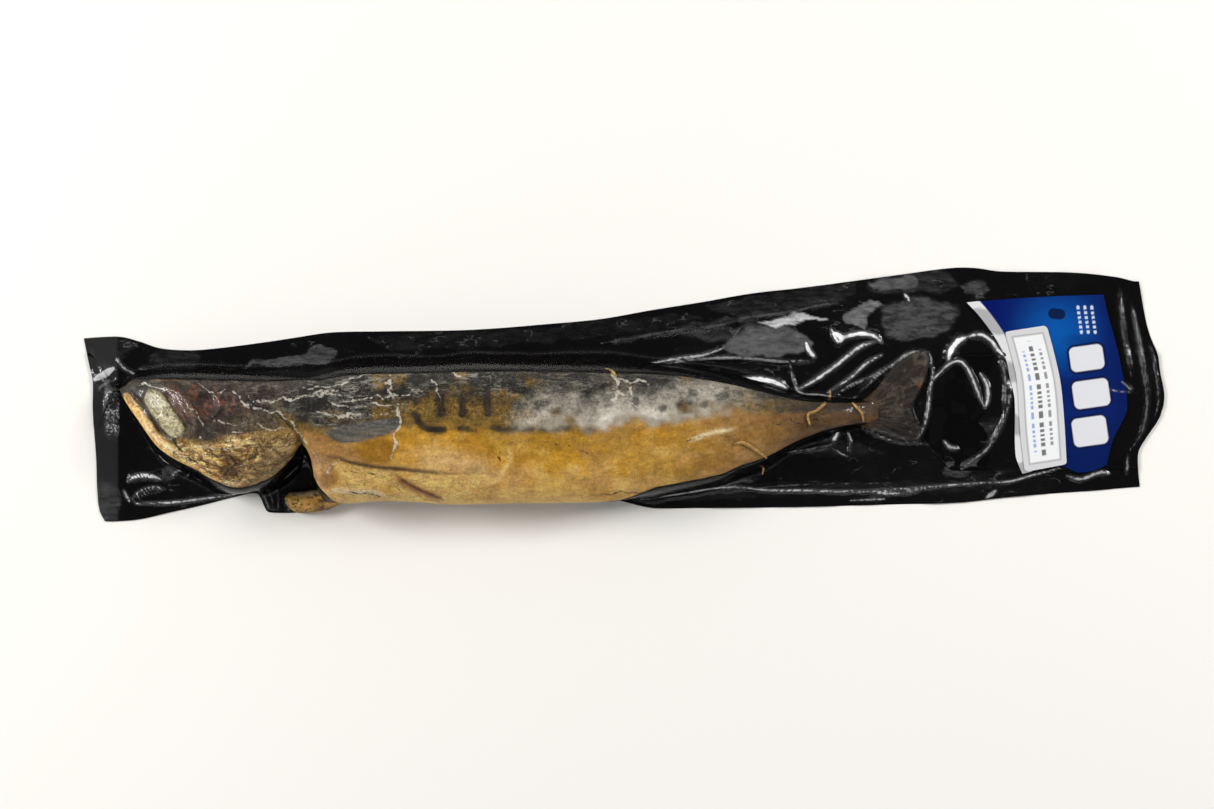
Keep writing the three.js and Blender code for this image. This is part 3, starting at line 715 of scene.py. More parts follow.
for layer, values in (("paint", skin_paint(body_x, body_y, upward)),
                      ("lines", np.stack(line_fields, axis=-1) * (upward > -0.2)[..., None]),
                      ("cover", skin_cover(body_x, body_y, upward))):
    colour_points(body, layer, with_ends(values))
skin = skin_look("smoked_skin")
body.data.materials.append(skin)
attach(body, "root")
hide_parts("mackerel")

# ---- Mackerel: belly flap ----
# The front corner of the upper belly wall, cut free from the throat when the fish was gutted
# and dried into a thick golden tongue that sticks out under the head.

SLAB_MOTTLE = 0.4
FLAP_OUTLINE = [(73.5, -28.5), (75.5, -26), (80, -25.5), (89, -24.5), (98, -23.5), (104, -24.5),
                (106, -27), (103, -29.5), (98, -31.5), (91, -34), (84, -35), (79, -35), (75, -32)]


def flap_top(x, y):
    """The flap's upper side: a low cushion, highest along its length, sloping at the tip."""
    middle = through([(72, -29.6), (80, -30.6), (90, -29.6), (106, -26)], x)
    return REST + 5.2 + 2.4 * ease(72, 84, x) - 0.16 * (y - middle) ** 2 + 0.3 * grain(x, y, 5, 64)


def fill_outline(outline, rows, columns):
    """A grid of places filling a closed outline: the outline's own rings, drawn in towards its
    middle by even shares, so the edge is exact and the centre closed."""
    ring = drawn(outline + [outline[0]], columns // len(outline))[:-1]
    middle = ring.mean(axis=0)
    share = np.linspace(1, 0, rows)[:, None, None]
    return middle + (ring[None] - middle) * share


def slab_piece(name, outline, top, under, rows, columns):
    """A closed slab: the outline filled at the top's height and at the under side's, joined
    round an edge rounded between the two."""
    flat = fill_outline(outline, rows, columns)
    x, y = flat[..., 0], flat[..., 1]
    from_edge = np.linspace(0, 1, rows)[:, None]
    upper = under + (top(x, y) - under) * np.clip(from_edge / 0.12, 0.45, 1) ** 0.6
    lower = np.where(from_edge == 0, upper, under)
    grid = np.concatenate([np.stack([x, y, upper], -1)[::-1], np.stack([x, y, lower], -1)[1:]])
    return mesh_piece(name, [grid], wrap=True), grid


def paint_slab(piece, colour):
    """Puts the painted colours, and how mottled they are, on a slab's points."""
    mottle = np.full(colour.shape[:-1] + (1,), SLAB_MOTTLE)
    colour_points(piece, "paint", with_ends(np.concatenate([colour, mottle], axis=-1)))


flap, flap_grid = slab_piece("mackerel_belly_flap", FLAP_OUTLINE, flap_top, REST, 30, 130)
shade = Paint(flap_grid[..., 0], flap_grid[..., 1], ink(206, 160, 78))
shade.coat(ease(-0.2, 0.7, grain(shade.x, shade.y, 6, 65)), ink(184, 130, 44), 0.7)
shade.line([(74, -26.6), (84, -26), (94, -24.6), (104, -24.8)], 1.4, ink(222, 196, 160), 0.9)
shade.line([(74, -31), (82, -34.6), (92, -33.4), (103, -29.6)], 0.9, ink(150, 108, 56), 0.6)
shade.line([(89, -29.6), (93, -29.2)], 0.8, ink(110, 70, 30), 0.8)
paint_slab(flap, shade.colour)
flap.data.materials.append(skin)
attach(flap, "root")
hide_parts("mackerel")

# ---- Mackerel: finlets ----
# The dried finlets and the last fin spines behind the second back fin: thin tan quills that
# lie pressed against the skin under the film.

FINLETS = [
    [(275, -4, 0.5), (279, -3.5, 0.8), (284.5, -6.5, 0.7), (290.5, -11, 0.3)],
    [(318.5, 20.5, 0.25), (318, 16.5, 0.6), (312, 11, 0.7), (308, 9, 0.6), (309, 4, 0.35)],
    [(327.5, 15, 0.3), (330, 12.5, 0.6), (332.5, 9.5, 0.6), (333.5, 4.5, 0.3)],
    [(287, -12, 0.3), (288.5, -15, 0.5), (288, -18, 0.2)],
    [(217.5, 29.5, 0.4), (220.5, 28.5, 0.6), (222.5, 26, 0.4)],
]


def skin_height(x, y):
    """The height of the fish's upper side at a place, zero outside it."""
    middle, level, wide, high = fish_section(x)
    c = np.clip(np.abs(y - middle) / wide, 0, 1) ** (1 / UPPER_POWER)
    return np.where(c < 1, level + high * np.sqrt(1 - c * c) ** UPPER_POWER, REST)


def quill(points, sides=10, rings=24):
    """A thin tapered tube on the skin along a drawn line: its height follows the skin."""
    places = np.array(points, float)
    run = np.linspace(0, 1, len(places))
    at = np.linspace(0, 1, rings)
    x, y, thick = (through(list(zip(run, places[:, k])), at) for k in range(3))
    z = np.maximum(skin_height(x, y), REST + 1) + 0.9
    way = np.stack([np.gradient(x), np.gradient(y)], -1)
    way /= np.hypot(*way.T)[:, None]
    around = np.linspace(0, 2 * math.pi, sides, endpoint=False)[None]
    side, rise = thick[:, None] * np.cos(around), 0.8 * thick[:, None] * np.sin(around)
    return np.stack([x[:, None] - way[:, 1:] * side, y[:, None] + way[:, :1] * side,
                     z[:, None] + rise], -1)


finlets = mesh_piece("mackerel_finlets", [quill(points) for points in FINLETS], wrap=True)
colour_points(finlets, "paint", np.broadcast_to(ink(196, 158, 92), (len(finlets.data.vertices), 3)))
finlets.data.materials.append(skin)
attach(finlets, "root")
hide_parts("mackerel")

# ---- Mackerel: tail fin ----
# The forked tail: two lobes of dark, dried fin, folded flat under the film behind the thin
# wrist of the tail, with their rays showing as fine ridges.

TAIL_OUTLINE = [(331, 14.5), (335, 17), (339.5, 21), (344, 27), (350, 33), (357, 37), (361.5, 37),
                (363, 33.5), (361.5, 26), (358, 18.5), (355.5, 13), (356.5, 8), (359.5, 2),
                (358.5, -2), (354.5, -3), (348, -2), (341, 0.5), (335, 3), (331, 5)]
TAIL_ROOT = (330, 9.5)
FIN_RAYS = 46


def tail_top(x, y):
    """How high the tail fin's upper side lies: thick at the root, thin at the rear edge, with
    rays fanning from the root and a dip along the fork."""
    angle = np.arctan2(y - TAIL_ROOT[1], x - TAIL_ROOT[0])
    reach = np.hypot(x - TAIL_ROOT[0], y - TAIL_ROOT[1])
    rays = 0.22 * np.sin(angle * FIN_RAYS) * ease(4, 14, reach)
    fork = 0.9 * np.exp(-(((angle - 0.12) * reach) / 3.2) ** 2) * ease(12, 26, reach)
    return REST + 1.6 + 3.6 - 2.2 * ease(0, 34, reach) + rays - fork + 0.25 * grain(x, y, 4, 61)


tail, tail_grid = slab_piece("mackerel_tail", TAIL_OUTLINE, tail_top, REST + 1.2, 60, 240)
tx, ty = tail_grid[..., 0], tail_grid[..., 1]
angle = np.arctan2(ty - TAIL_ROOT[1], tx - TAIL_ROOT[0])
shade = Paint(tx, ty, ink(58, 50, 42))
shade.coat(ease(-0.3, 0.6, np.sin(angle * FIN_RAYS)), ink(34, 29, 24), 0.8)
shade.coat(ease(0.1, 0.6, grain(tx, ty, 3, 62)), ink(98, 88, 74), 0.6)
shade.coat(ease(0.1, 0.6, grain(tx, ty, 5, 63)), ink(30, 27, 23), 0.7)
shade.coat(1 - ease(3, 15, ty + 0.25 * (350 - tx)), ink(12, 9, 7), 0.92)
shade.coat(1 - ease(332, 344, tx), ink(82, 56, 32), 0.9)
shade.line([(358, 21), (361.5, 23.5), (364, 25.5)], 1, ink(150, 84, 42), 0.7)
paint_slab(tail, shade.colour)
tail.data.materials.append(skin)
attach(tail, "root")
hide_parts("mackerel")

# ---- Back film ----
# The black back web of the vacuum pack: a thin, glossy film sealed to the front film all round.
# It cups the fish's lower side up to where the films meet, and lies on the table beside it.

LEFT_EDGE = [(-39, -7.5), (-34, -10), (-25, -11), (-11, -11.5), (11, -13), (24, -13), (31, -14.5),
             (43, -17)]
RIGHT_EDGE = [(-24, 458), (-11, 457), (-6, 458), (1, 462.5), (8, 467), (17, 469), (29, 467),
              (36, 466), (45, 462.5), (52.5, 460.5), (69.5, 457.5)]
BACK_EDGE = [(-17, 43), (-5, 44), (1.5, 44), (8, 42), (17, 39), (30.5, 38), (44, 39), (67, 42),
             (80, 44), (94, 46), (116, 46.5), (152, 47), (170, 48), (188, 49.5), (215, 52),
             (238, 56),
             (260, 59.5), (283, 63.5), (305, 66), (328, 69), (350, 72), (373, 75), (384, 75),
             (395, 73.5), (427, 73), (449, 71), (458, 69)]
BELLY_EDGE = [(-8, -39), (8, -38), (21.5, -35), (35, -32), (53, -27.5), (61, -26.5), (63, -29.5),
              (65, -34), (67, -35), (80, -35), (94, -33.5), (104, -32), (215, -31), (238, -33),
              (260, -33), (305, -32.5), (341, -31.5), (377, -30.5), (395, -28.5), (418, -26.5),
              (440, -25), (458, -23.5)]
TUCKED = [(93, 0), (104, 1), (200, 1), (240, 0)]
LEFT_MEAN, RIGHT_MEAN = -13.0, 460.0
STATION_AT = [(0, LEFT_MEAN), (0.18, 60), (0.25, 95), (0.46, 225), (0.87, 405), (1, RIGHT_MEAN)]
TENT = 7.0
LEAVE = 0.42
TUCK_TURN = 0.95
FILM = 0.45
TABLE_GAP = 0.35

# Folds and creases standing off the films: the line, its height, its half width, and how bright the
# highlight painted along it is.
FOLDS = [
    ([(215, 41), (233, 44), (251, 47), (268, 49), (280, 52.5), (300, 55), (318, 59), (325, 58)],
     0.8, 1.2, 0.05),
    ([(233, 31), (251, 34.5), (260, 35.5), (271, 39)], 1.2, 0.8, 0.4),
    ([(271, 39), (276, 45), (279, 49)], 0.7, 0.8, 0.1),
    ([(244, 32), (260, 34), (278, 34.5), (296, 33), (312, 33.5)], 1.2, 0.9, 0.22),
    ([(300.5, 33), (302, 24.5), (305, 19), (314, 18), (327.5, 16), (331, 17.5)], 0.9, 0.6, 0.25),
    ([(277, 25), (286, 25), (294, 23.5), (299, 21)], 1.4, 1.5, 0.95),
    ([(319, 47.5), (322, 42), (325.5, 44), (332, 45.5), (338, 44.5), (342, 41.5)], 1.8, 1.2, 0.95),
    ([(320, 46), (325, 43)], 1.2, 1.8, 0.95),
    ([(304.5, 20.5), (312, 24.5), (323, 32.5), (332, 39.5), (339, 42)], 2.2, 1.0, 0.7),
    ([(317.5, 19), (327.5, 25.5), (335.5, 32.5), (342, 36)], 1.8, 0.7, 0.55),
    ([(319.5, 17.5), (332, 23.5), (345.5, 31.5)], 1.2, 0.5, 0.2),
    ([(307.5, 42), (309, 38), (312, 34.5)], 1.0, 1.2, 0.85),
    ([(332, 19.5), (339, 25.5), (348, 32.5), (354.5, 37), (360, 37), (363.5, 34.5)], 1.0, 0.6, 0.3),
    ([(320.5, 17.5), (327.5, 22.5), (341, 27.5), (350, 33.5), (357.5, 37.5)], 0.9, 0.5, 0.2),
    ([(363.5, 36), (364.5, 27), (363.5, 20), (362.5, 10), (359.5, 1), (356.5, -3)], 1.2, 0.6, 0.4),
    ([(333, 3), (341, -0.5), (348, -3), (355.5, -3.5), (363.5, -4.5)], 1.0, 0.6, 0.25),
    ([(333, 3.5), (343.5, 1), (352.5, -1.5)], 0.8, 0.5, 0.2),
    ([(364, 24), (368, 28), (372.5, 32), (377, 33), (380.5, 29.5), (383.5, 23), (386, 16.5),
      (388, 13)], 1.8, 0.8, 0.5),
    ([(388, 12), (389.5, 15.5), (389, 22.5), (386, 28)], 1.4, 0.9, 0.6),
    ([(371.5, 33.5), (373, 38), (376, 42), (380, 44)], 2.2, 1.7, 0.9),
    ([(380, 44), (386, 45), (390.5, 42.5), (394, 38), (397.5, 34.5)], 2.0, 1.0, 0.7),
    ([(394.5, 36), (397, 27), (397.5, 18), (396.5, 11)], 1.4, 0.6, 0.2),
    ([(399, 24.5), (399.5, 18), (398, 11), (395, 3), (389.5, -6), (384, -10.5), (377, -16)], 1.4,
     0.7, 0.22),
    ([(369.5, -2.5), (372.5, -5.5), (377, -6)], 0.9, 0.9, 0.4),
    ([(298.5, -8), (312, -6), (318.5, -4.5), (321.5, -2.5)], 1.2, 0.6, 0.15),
    ([(326.5, -10), (319.5, -6)], 1.0, 0.5, 0.25),
    ([(326.5, -10), (327.5, -4.5), (325.5, 2)], 1.2, 0.5, 0.1),
    ([(322, 2.5), (321.5, 0), (319.5, -3)], 1.0, 0.9, 0.9),
    ([(233, -29), (251, -26.5), (273.5, -23.5), (291.5, -25), (305, -25), (327.5, -25.5),
      (350, -24.5),
      (368, -23), (388.5, -21.5)], 1.0, 0.6, 0.5),
    ([(388.5, -21.5), (399.5, -21), (408.5, -18.5), (422, -15)], 0.8, 0.5, 0.35),
    ([(260, -26), (278, -21), (287, -19.5)], 0.6, 0.6, 0.1),
    ([(264, -27), (290, -23.5), (320, -22), (352, -22)], 0.6, 0.4, 0.08),
    ([(336.5, -27.5), (345.5, -26.5), (352.5, -26), (363.5, -23.5)], 0.8, 0.6, 0.4),
    ([(388.5, -28.5), (391.5, -26.5), (393.5, -25)], 0.4, 1.2, 0.35),
    ([(327.5, -29.5), (343.5, -29)], 0.4, 0.5, 0.25),
    ([(352, 63.5), (354.5, 60)], 0.6, 0.7, 0.6),
    ([(6, -31), (21.5, -30.5), (35, -29), (53, -26.5)], 0.9, 0.6, 0.6),
    ([(4.5, -29), (9, -25), (15, -23.5), (19.5, -24.5)], 1.0, 0.5, 0.5),
    ([(7, -28.5), (12.5, -26), (18.5, -25)], 0.8, 0.4, 0.25),
    ([(1, -25), (3.5, -30)], 0.8, 0.6, 0.5),
    ([(2.5, -21), (7, -18.5), (12.5, -18.5), (18, -20)], 1.4, 1.2, 0.85),
    ([(-13, 24.5), (-8, 27), (-3, 30.5)], 1.6, 2.4, 0.5),
    ([(-11, 20), (-7, 23), (-2, 25)], 1.2, 1.2, 0.12),
    ([(-2, 35), (0, 31), (4.5, 28), (10.5, 24.5), (17, 22.5)], 1.4, 0.7, 0.25),
    ([(11, 25), (24, 25.5), (39.5, 24.5), (52, 26.5), (63, 25), (80, 24.5), (93.5, 25.5)], 0.4, 0.5,
     0.12),
    ([(22.5, -18.5), (26, -16), (29.5, -16)], 0.9, 0.6, 0.5),
    ([(28, -19.5), (31.5, -17.5), (35, -19.5), (41.5, -21.5)], 0.9, 0.5, 0.3),
    ([(26, -14), (31, -16), (36, -21)], 0.9, 0.4, 0.2),
    ([(17, -9), (20.5, -12), (24.5, -13.5)], 0.9, 0.7, 0.35),
    ([(81, -5.5), (83, -9), (82.5, -12.5), (84.5, -14)], 0.9, 0.6, 0.4),
    ([(81.5, -12.5), (73.5, -19.5), (68, -22)], 1.0, 0.6, 0.15),
    ([(86, -11.5), (87, -18), (86, -24), (80, -26)], 0.8, 0.5, 0.15),
    ([(63, -25), (65, -29.5), (66.5, -34)], 1.0, 0.6, 0.2),
    ([(65.5, -23.5), (67.5, -28.5), (68.5, -34)], 1.0, 0.5, 0.18),
    ([(70, -23), (70.5, -28.5), (70.5, -34)], 1.0, 0.5, 0.12),
    ([(73.5, -24), (74, -29.5), (75.5, -34.5)], 0.8, 0.6, 0.2),
    ([(448, 68), (450, 47), (452.5, 33.5), (454, 24.5)], 1.0, 0.9, 0.06),
    ([(453.5, 60.5), (456.5, 42.5), (459, 29), (461, 15.5), (459, 2), (453.5, -7)], 1.2, 0.9, 0.08),
    ([(461.5, 42.5), (465, 27), (466, 15.5), (464.5, 6.5)], 0.8, 0.7, 0.08),
    ([(449, 24.5), (455, 19.5)], 0.8, 0.7, 0.15),
    ([(452.5, -9), (452, -18)], 0.6, 0.7, 0.18),
    ([(440, 22), (448, 19.5), (454.5, 19.5)], 0.8, 0.5, 0.25),
    ([(425, -18.5), (431, -20), (440, -17), (444.5, -17.5)], 1.0, 0.9, 0.35),
]
# Broad grey painted reflections of the lights: the outline of a stretch of film where one is
# painted, how soft its edge is, and how bright the painted reflection is.
SHEENS = [
    ([(286, 50), (300, 49), (311, 52), (318, 52.5), (306, 54.5), (297, 54), (292, 52)], 0.8, 0.55),
    ([(270, 39), (279, 46), (290, 49), (304, 46), (311, 42), (304, 37), (290, 35.5), (277, 35)],
     2.0, 0.10),
    ([(248, 46), (270, 48), (290, 51), (302, 49), (290, 45), (272, 42), (258, 42)], 2.0, 0.035),
    ([(325, 55), (334, 58), (342, 59), (336, 54), (335, 47), (328, 49), (324, 52)], 0.8, 0.16),
    ([(336, 69), (350, 71), (358, 71), (357, 66), (346, 65), (338, 67)], 1.5, 0.09),
    ([(341, 58), (356, 61), (372, 60), (377, 56), (370, 46), (352, 42), (344, 46)], 3.0, 0.06),
    ([(376, 66), (388, 69), (390, 64), (384, 62)], 1.5, 0.05),
    ([(220, 43), (268, 52), (300, 59), (320, 62), (322, 59), (280, 52), (250, 46), (222, 41)], 1.5,
     0.03),
    ([(340, 74), (372, 73), (376, 66), (352, 63), (336, 66)], 2.0, 0.03),
    ([(370, -14), (384, -10), (388, -14), (378, -19), (370, -18)], 1.5, 0.05),
    ([(384, 4), (394, 8), (396, 2), (390, -4), (384, -2)], 2.0, 0.03),
    ([(80, 35), (88, 41), (96, 38), (94, 33), (86, 31), (66, 30), (56, 31), (62, 33)], 0.8, 0.06),
    ([(-15, 32), (-14, 41), (0, 43), (6, 41), (2, 36), (-2, 32)], 0.8, 0.022),
    ([(8, 30), (16, 38), (34, 36), (34, 29), (20, 27)], 0.8, 0.025),
    ([(-15, -36), (-2, -37), (-1, -23), (-13, -21)], 1.5, 0.04),
    ([(110, 44), (150, 47), (190, 49), (216, 52), (246, 54), (262, 52), (216, 44), (170, 40),
      (124, 38)], 0.8, 0.018),
    ([(262, 58), (300, 65), (330, 69), (330, 62), (300, 58), (270, 54)], 1.0, 0.025),
    ([(20, -14), (26, -14), (24, -20), (18, -21)], 1.0, 0.05),
    ([(240, -26), (300, -21), (370, -20), (396, -17), (396, -24), (300, -28), (250, -30)], 2.0,
     0.018),
    ([(300, 6), (312, 2), (330, -4), (345, -8), (320, -10), (300, -6)], 2.0, 0.02),
]


def film_rise(x, y):
    """How far the films stand off the flat: each fold as a round ridge, with creased ground
    between them, rougher round the tail and calmer along the sealed edges."""
    rise = np.zeros(x.shape)
    for line, high, wide, _ in FOLDS:
        rise += high * stroke(x, y, line, wide * 1.5, 0.2)
    lively = 0.35 + 0.65 * ease(225, 300, x) * (1 - ease(405, 440, x))
    rise += lively * (0.55 * grain(x, y, 16, 71, 2) + 0.35 * np.abs(grain(x, y, 6, 72, 2)))
    return rise


def film_highlights(x, y):
    """Painted highlights for the film's material: how near the closest fold is (1 on it, 0 at
    the reach), half the highlight's width over the reach, its brightness, and the painted sheens."""
    near, half, strength = np.zeros(x.shape), np.zeros(x.shape), np.zeros(x.shape)
    for line, _, wide, share in FOLDS:
        away, along = from_line(x, y, line)[:2]
        field = np.clip(1 - away / MARK_REACH, 0, 1)
        ends = np.sqrt(np.clip(np.minimum(along, 1 - along) * 3.3, 0, 1))
        closer = field > near
        half = np.where(closer, (0.12 + 0.62 * wide * ends) / MARK_REACH, half)
        strength = np.where(closer, share, strength)
        near = np.where(closer, field, near)
    # A faint painted sheen everywhere, then the broad painted reflections over it.
    sheen = 0.003 + 0.007 * ease(-0.3, 0.8, grain(x, y, 26, 75, 2))
    bent_x, bent_y = x + 1.2 * grain(x, y, 6, 78, 3), y + 1.2 * grain(x, y, 6, 79, 3)
    for outline, soft, share in SHEENS:
        sheen = np.maximum(sheen, share * patch(bent_x, bent_y, outline, soft * 0.5))
    return near, half, strength, sheen


def film_section(x):
    """The section the films wrap: the fish's own, let down to nothing past snout and tail."""
    middle, level, wide, high = fish_section(np.clip(x, 0, BODY_END))
    there = ease(-9, 1, x) * (1 - ease(333, 352, x))
    wide = wide + 0.4 + 16 * (1 - ease(-12, -3, x)) + 22 * ease(350, 375, x)
    return middle, REST + (level - REST) * there, wide, high * there + 0.1, there


def film_grid(stations, columns, offset):
    """The film's places: from the back flange's edge over a tent, round the fish between the
    two lines where it leaves it, and over the belly tent to that flange's edge. offset is
    the distance outside the skin; below zero it is the back film's, under the front film."""
    x = through(STATION_AT, np.linspace(0, 1, stations)[:, None])
    middle, level, wide, high, there = film_section(x)
    tucked = np.interp(x, *np.array(TUCKED).T)
    wide = wide + offset
    high = high + offset * there
    tent = TENT * np.clip(high / 12, 0.25, 1) * (1 + 0.2 * grain(x, 0 * x, 20, 74, 2))
    low = TABLE_GAP + FILM + (0 if offset > 0 else -FILM)
    belly_leave = math.pi - LEAVE + tucked * TUCK_TURN
    flange, side, wrap = columns
    back_edge, belly_edge = through(BACK_EDGE, x), through(BELLY_EDGE, x)

    def tangent_curve(angle, way, foot_y, steps):
        """The tent's side: a cubic arc that leaves the section along its own slope and
        lands flat at the foot."""
        y0, z0 = section_place((middle, level, wide, high), angle, low)
        y1, z1 = section_place((middle, level, wide, high), angle - way * 0.05, low)
        run = np.hypot(y1 - y0, z1 - z0) + 1e-6
        reach = 0.5 * np.hypot(foot_y - y0, z0 - low)
        a = (y0 + (y1 - y0) / run * reach, z0 + (z1 - z0) / run * reach)
        b = (foot_y - (foot_y - y0) * 0.6, low + 0 * z0)
        t = steps[None]
        weights = ((1 - t) ** 3, 3 * t * (1 - t) ** 2, 3 * t * t * (1 - t), t**3)
        ys = sum(w * p for w, p in zip(weights, (y0, a[0], b[0], foot_y)))
        zs = sum(w * p for w, p in zip(weights, (z0, np.maximum(a[1], low), b[1], low + 0 * z0)))
        return ys, zs

    back_foot = middle + wide + tent
    belly_side = middle - wide
    belly_foot = np.maximum(belly_side - tent, belly_edge + 0.8) * (1 - tucked)
    belly_foot = belly_foot + (belly_side + 5) * tucked
    steps = np.linspace(1, 0, side, endpoint=False)
    tent_y, tent_z = tangent_curve(LEAVE, 1, back_foot, steps)
    share = np.linspace(0, 1, flange, endpoint=False)[None]
    flange_y = back_edge + (back_foot - back_edge) * share
    flange_z = np.full_like(flange_y, low)
    angle = LEAVE + (belly_leave - LEAVE) * np.linspace(0, 1, wrap)[None]
    if offset > 0:
        wrap_y, wrap_z = section_place((middle, level, wide, high), angle, low)
    else:
        around = LEAVE - (LEAVE + 2 * math.pi - belly_leave) * np.linspace(0, 1, wrap)[None]
        wrap_y, wrap_z = section_place((middle, level, wide, high), around, TABLE_GAP * 0.4)
    far_y, far_z = tangent_curve(belly_leave, -1, belly_foot, np.linspace(0, 1, side + 1)[1:])
    rest = np.linspace(0, 1, flange // 2 + 1)[None, 1:]
    belly_edge = belly_edge * (1 - tucked) + (belly_foot + 1.5) * tucked
    last_y = belly_foot + (belly_edge - belly_foot) * rest
    last_z = np.full_like(last_y, low)
    y = np.concatenate([flange_y, tent_y, wrap_y, far_y, last_y], axis=1)
    z = np.concatenate([flange_z, tent_z, wrap_z, far_z, last_z], axis=1)
    upward = np.concatenate([np.ones_like(flange_y), np.ones_like(tent_y),
                             (np.clip(np.sin(angle), 0, 1) if offset > 0 else 0) + 0 * wrap_y,
                             (1 - tucked) + 0 * far_y, (1 - tucked) + 0 * last_y], axis=1)
    climb = np.broadcast_to(1 - steps[None], tent_y.shape)
    fall = np.broadcast_to(np.linspace(1, 0, side + 1)[None, 1:], far_y.shape)
    on_fish = np.concatenate([0 * flange_y, climb, np.ones_like(wrap_y), fall, 0 * last_y], axis=1)
    left = through(LEFT_EDGE, y) - LEFT_MEAN
    right = through(RIGHT_EDGE, y) - RIGHT_MEAN
    x = x + left * (1 - ease(-13, 12, x)) + right * ease(425, 460, x)
    return x, y, z, upward, on_fish


def film_places(stations, columns, offset):
    """The film's grid with its folds, the skin's relief under it and the fin's bump."""
    x, y, z, upward, on_fish = film_grid(stations, columns, offset)
    fish = on_fish * ease(-2, 4, x) * (1 - ease(338, 352, x))
    relief = np.maximum(skin_relief(x, y), -0.5) + 0.25
    rise = film_rise(x, y)
    fin = patch(x, y, TAIL_OUTLINE, 1.6)
    lift = ease(0.0, 0.45, upward) * (fish * relief + (1 - 0.75 * fish) * rise)
    z = z + lift
    if offset > 0:
        z = np.where(upward > 0, np.maximum(z, fin * (tail_top(x, y) + 0.4 + 0.5 * rise)), z)
    flap_bump = patch(x, y, FLAP_OUTLINE, 1.2) * (flap_top(x, y) + 0.5) * (upward > 0)
    z = np.maximum(z, flap_bump) if offset > 0 else z
    return x, y, np.maximum(z, 0.1), on_fish


BLACK_INK = ink(10, 9, 9)
GLOSS_LIMIT = 0.014
SEAL_EDGE = (-0.2285, -0.2265)
WEAVE = 4400.0


def film_look(name, black):
    """Thin glossy film: black through and through, or clear with a weak mirror gloss, with
    painted highlights along its folds and painted sheens of reflected light drawn in matt white,
    and painted glitter and sheen over the woven head-end seal."""
    material, start = new_look(name)
    where = start.node("TexCoord", output="Object")
    crumple, fine = noise(start, where, 260, 3), noise(start, where, 1300, 3)
    normal = start.node("Bump", {}, {"Height": crumple + fine * 0.15, "Strength": 0.5,
                                     "Distance": 0.0004})
    if black:
        surface = start.node("BsdfPrincipled", {}, {
            "Base Color": (*BLACK_INK, 1), "Roughness": 0.2, "IOR": 1.16, "Normal": normal})
        finish_look(start, surface)
        return material
    fields = start.node("Attribute", {"attribute_name": "paint"}, output="Color")
    near, half, strength = (
        start.node("SeparateColor", {}, {0: fields}, output=k) for k in range(3))
    sheen = start.node("Attribute", {"attribute_name": "paint"}, output="Alpha")
    small, broad = noise(start, where, 600, 3), noise(start, where, 150, 3)
    ragged = (small - 0.5) * 1.3 + (fine - 0.5) * 0.7
    inside = (near + half - 1) * 3 + ragged
    # Painted highlights: matt white along each fold with a faint painted halo round it, the painted
    # sheens mottled by noise, and a faint painted sheen along loose creases.
    glint = inside.between(-0.1, 0.35) * (strength * broad.between(0.3, 0.6) * 0.6 + strength * 0.5)
    halo = (near + half - 1).between(-0.45, 0.05) * strength * 0.10
    scratched = noise(start, where, 330, 4, (0.5, 1.6, 1))
    mottled_sheen = sheen * (scratched.between(0.3, 0.7) * 0.7 + 0.45 + fine.between(0.55, 0.7) * 0.5)
    crease_sheen = ridge(noise(start, where, 70, 4, (0.6, 1.5, 1)), 0.012) * broad.between(0.48, 0.62)
    crease_sheen = crease_sheen * sheen.between(0.002, 0.006) * 0.045
    across = start.node("SeparateXYZ", {}, {0: where}, output="X")
    up = start.node("SeparateXYZ", {}, {0: where}, output="Y")
    # Painted glitter and painted sheen over the woven embossing of the head-end seal.
    weave = start.math("SINE", across * WEAVE) * start.math("SINE", up * WEAVE + small * 6)
    strip = across.between(-0.2345, -0.232) * (1 - across.between(*SEAL_EDGE))
    strip = strip * up.between(-0.022, -0.010) * (1 - up.between(0.000, 0.004))
    strip = strip * broad.between(0.3, 0.6)
    seal_sheen = (1 - across.between(*SEAL_EDGE)) * (weave.between(-0.6, 0.6) * 0.03 + 0.012)
    # All the painted highlights, sheens and glitter together, drawn as matt white on the film.
    lit = start.math("MAXIMUM", glint, start.math("MAXIMUM", halo, mottled_sheen + crease_sheen))
    seal_glints = strip * (fine.between(0.5, 0.58) * 0.8 + 0.08)
    painted_light = start.math("MAXIMUM", lit, start.math("MAXIMUM", seal_glints, seal_sheen))
    gloss = start.math("MINIMUM", start.node("Fresnel", {}, {"IOR": 1.38, "Normal": normal}),
                       GLOSS_LIMIT)
    film = start.node("BsdfPrincipled", {}, {
        "Base Color": (0.95, 0.94, 0.94, 1), "Metallic": 1 - painted_light.between(0.0, 0.06),
        "Normal": normal,
        "Roughness": painted_light.between(0.02, 0.15) * 0.4 + 0.12})
    clear = start.node("BsdfTransparent", {}, {"Color": (1, 1, 1, 1)})
    share = start.math("ADD", gloss, painted_light, clamp=True)
    finish_look(start, start.node("MixShader", {}, {0: share, 1: clear, 2: film}))
    return material


FILM_STATIONS = 508
FLANGE_COLUMNS, SIDE_COLUMNS = 58, 14
back_places = film_places(FILM_STATIONS, (FLANGE_COLUMNS, SIDE_COLUMNS, 44), -0.15)[:3]
back_film = mesh_piece("back_film", [np.stack(back_places, -1)])
back_film.data.materials.append(film_look("black_film", True))
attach(back_film, "root")
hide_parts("back_film")

# ---- Printed label ----
# A printed paper card inside the pack behind the tail, blue with a silver band along its left
# side. It follows the film, and its printing is left as plain shapes.

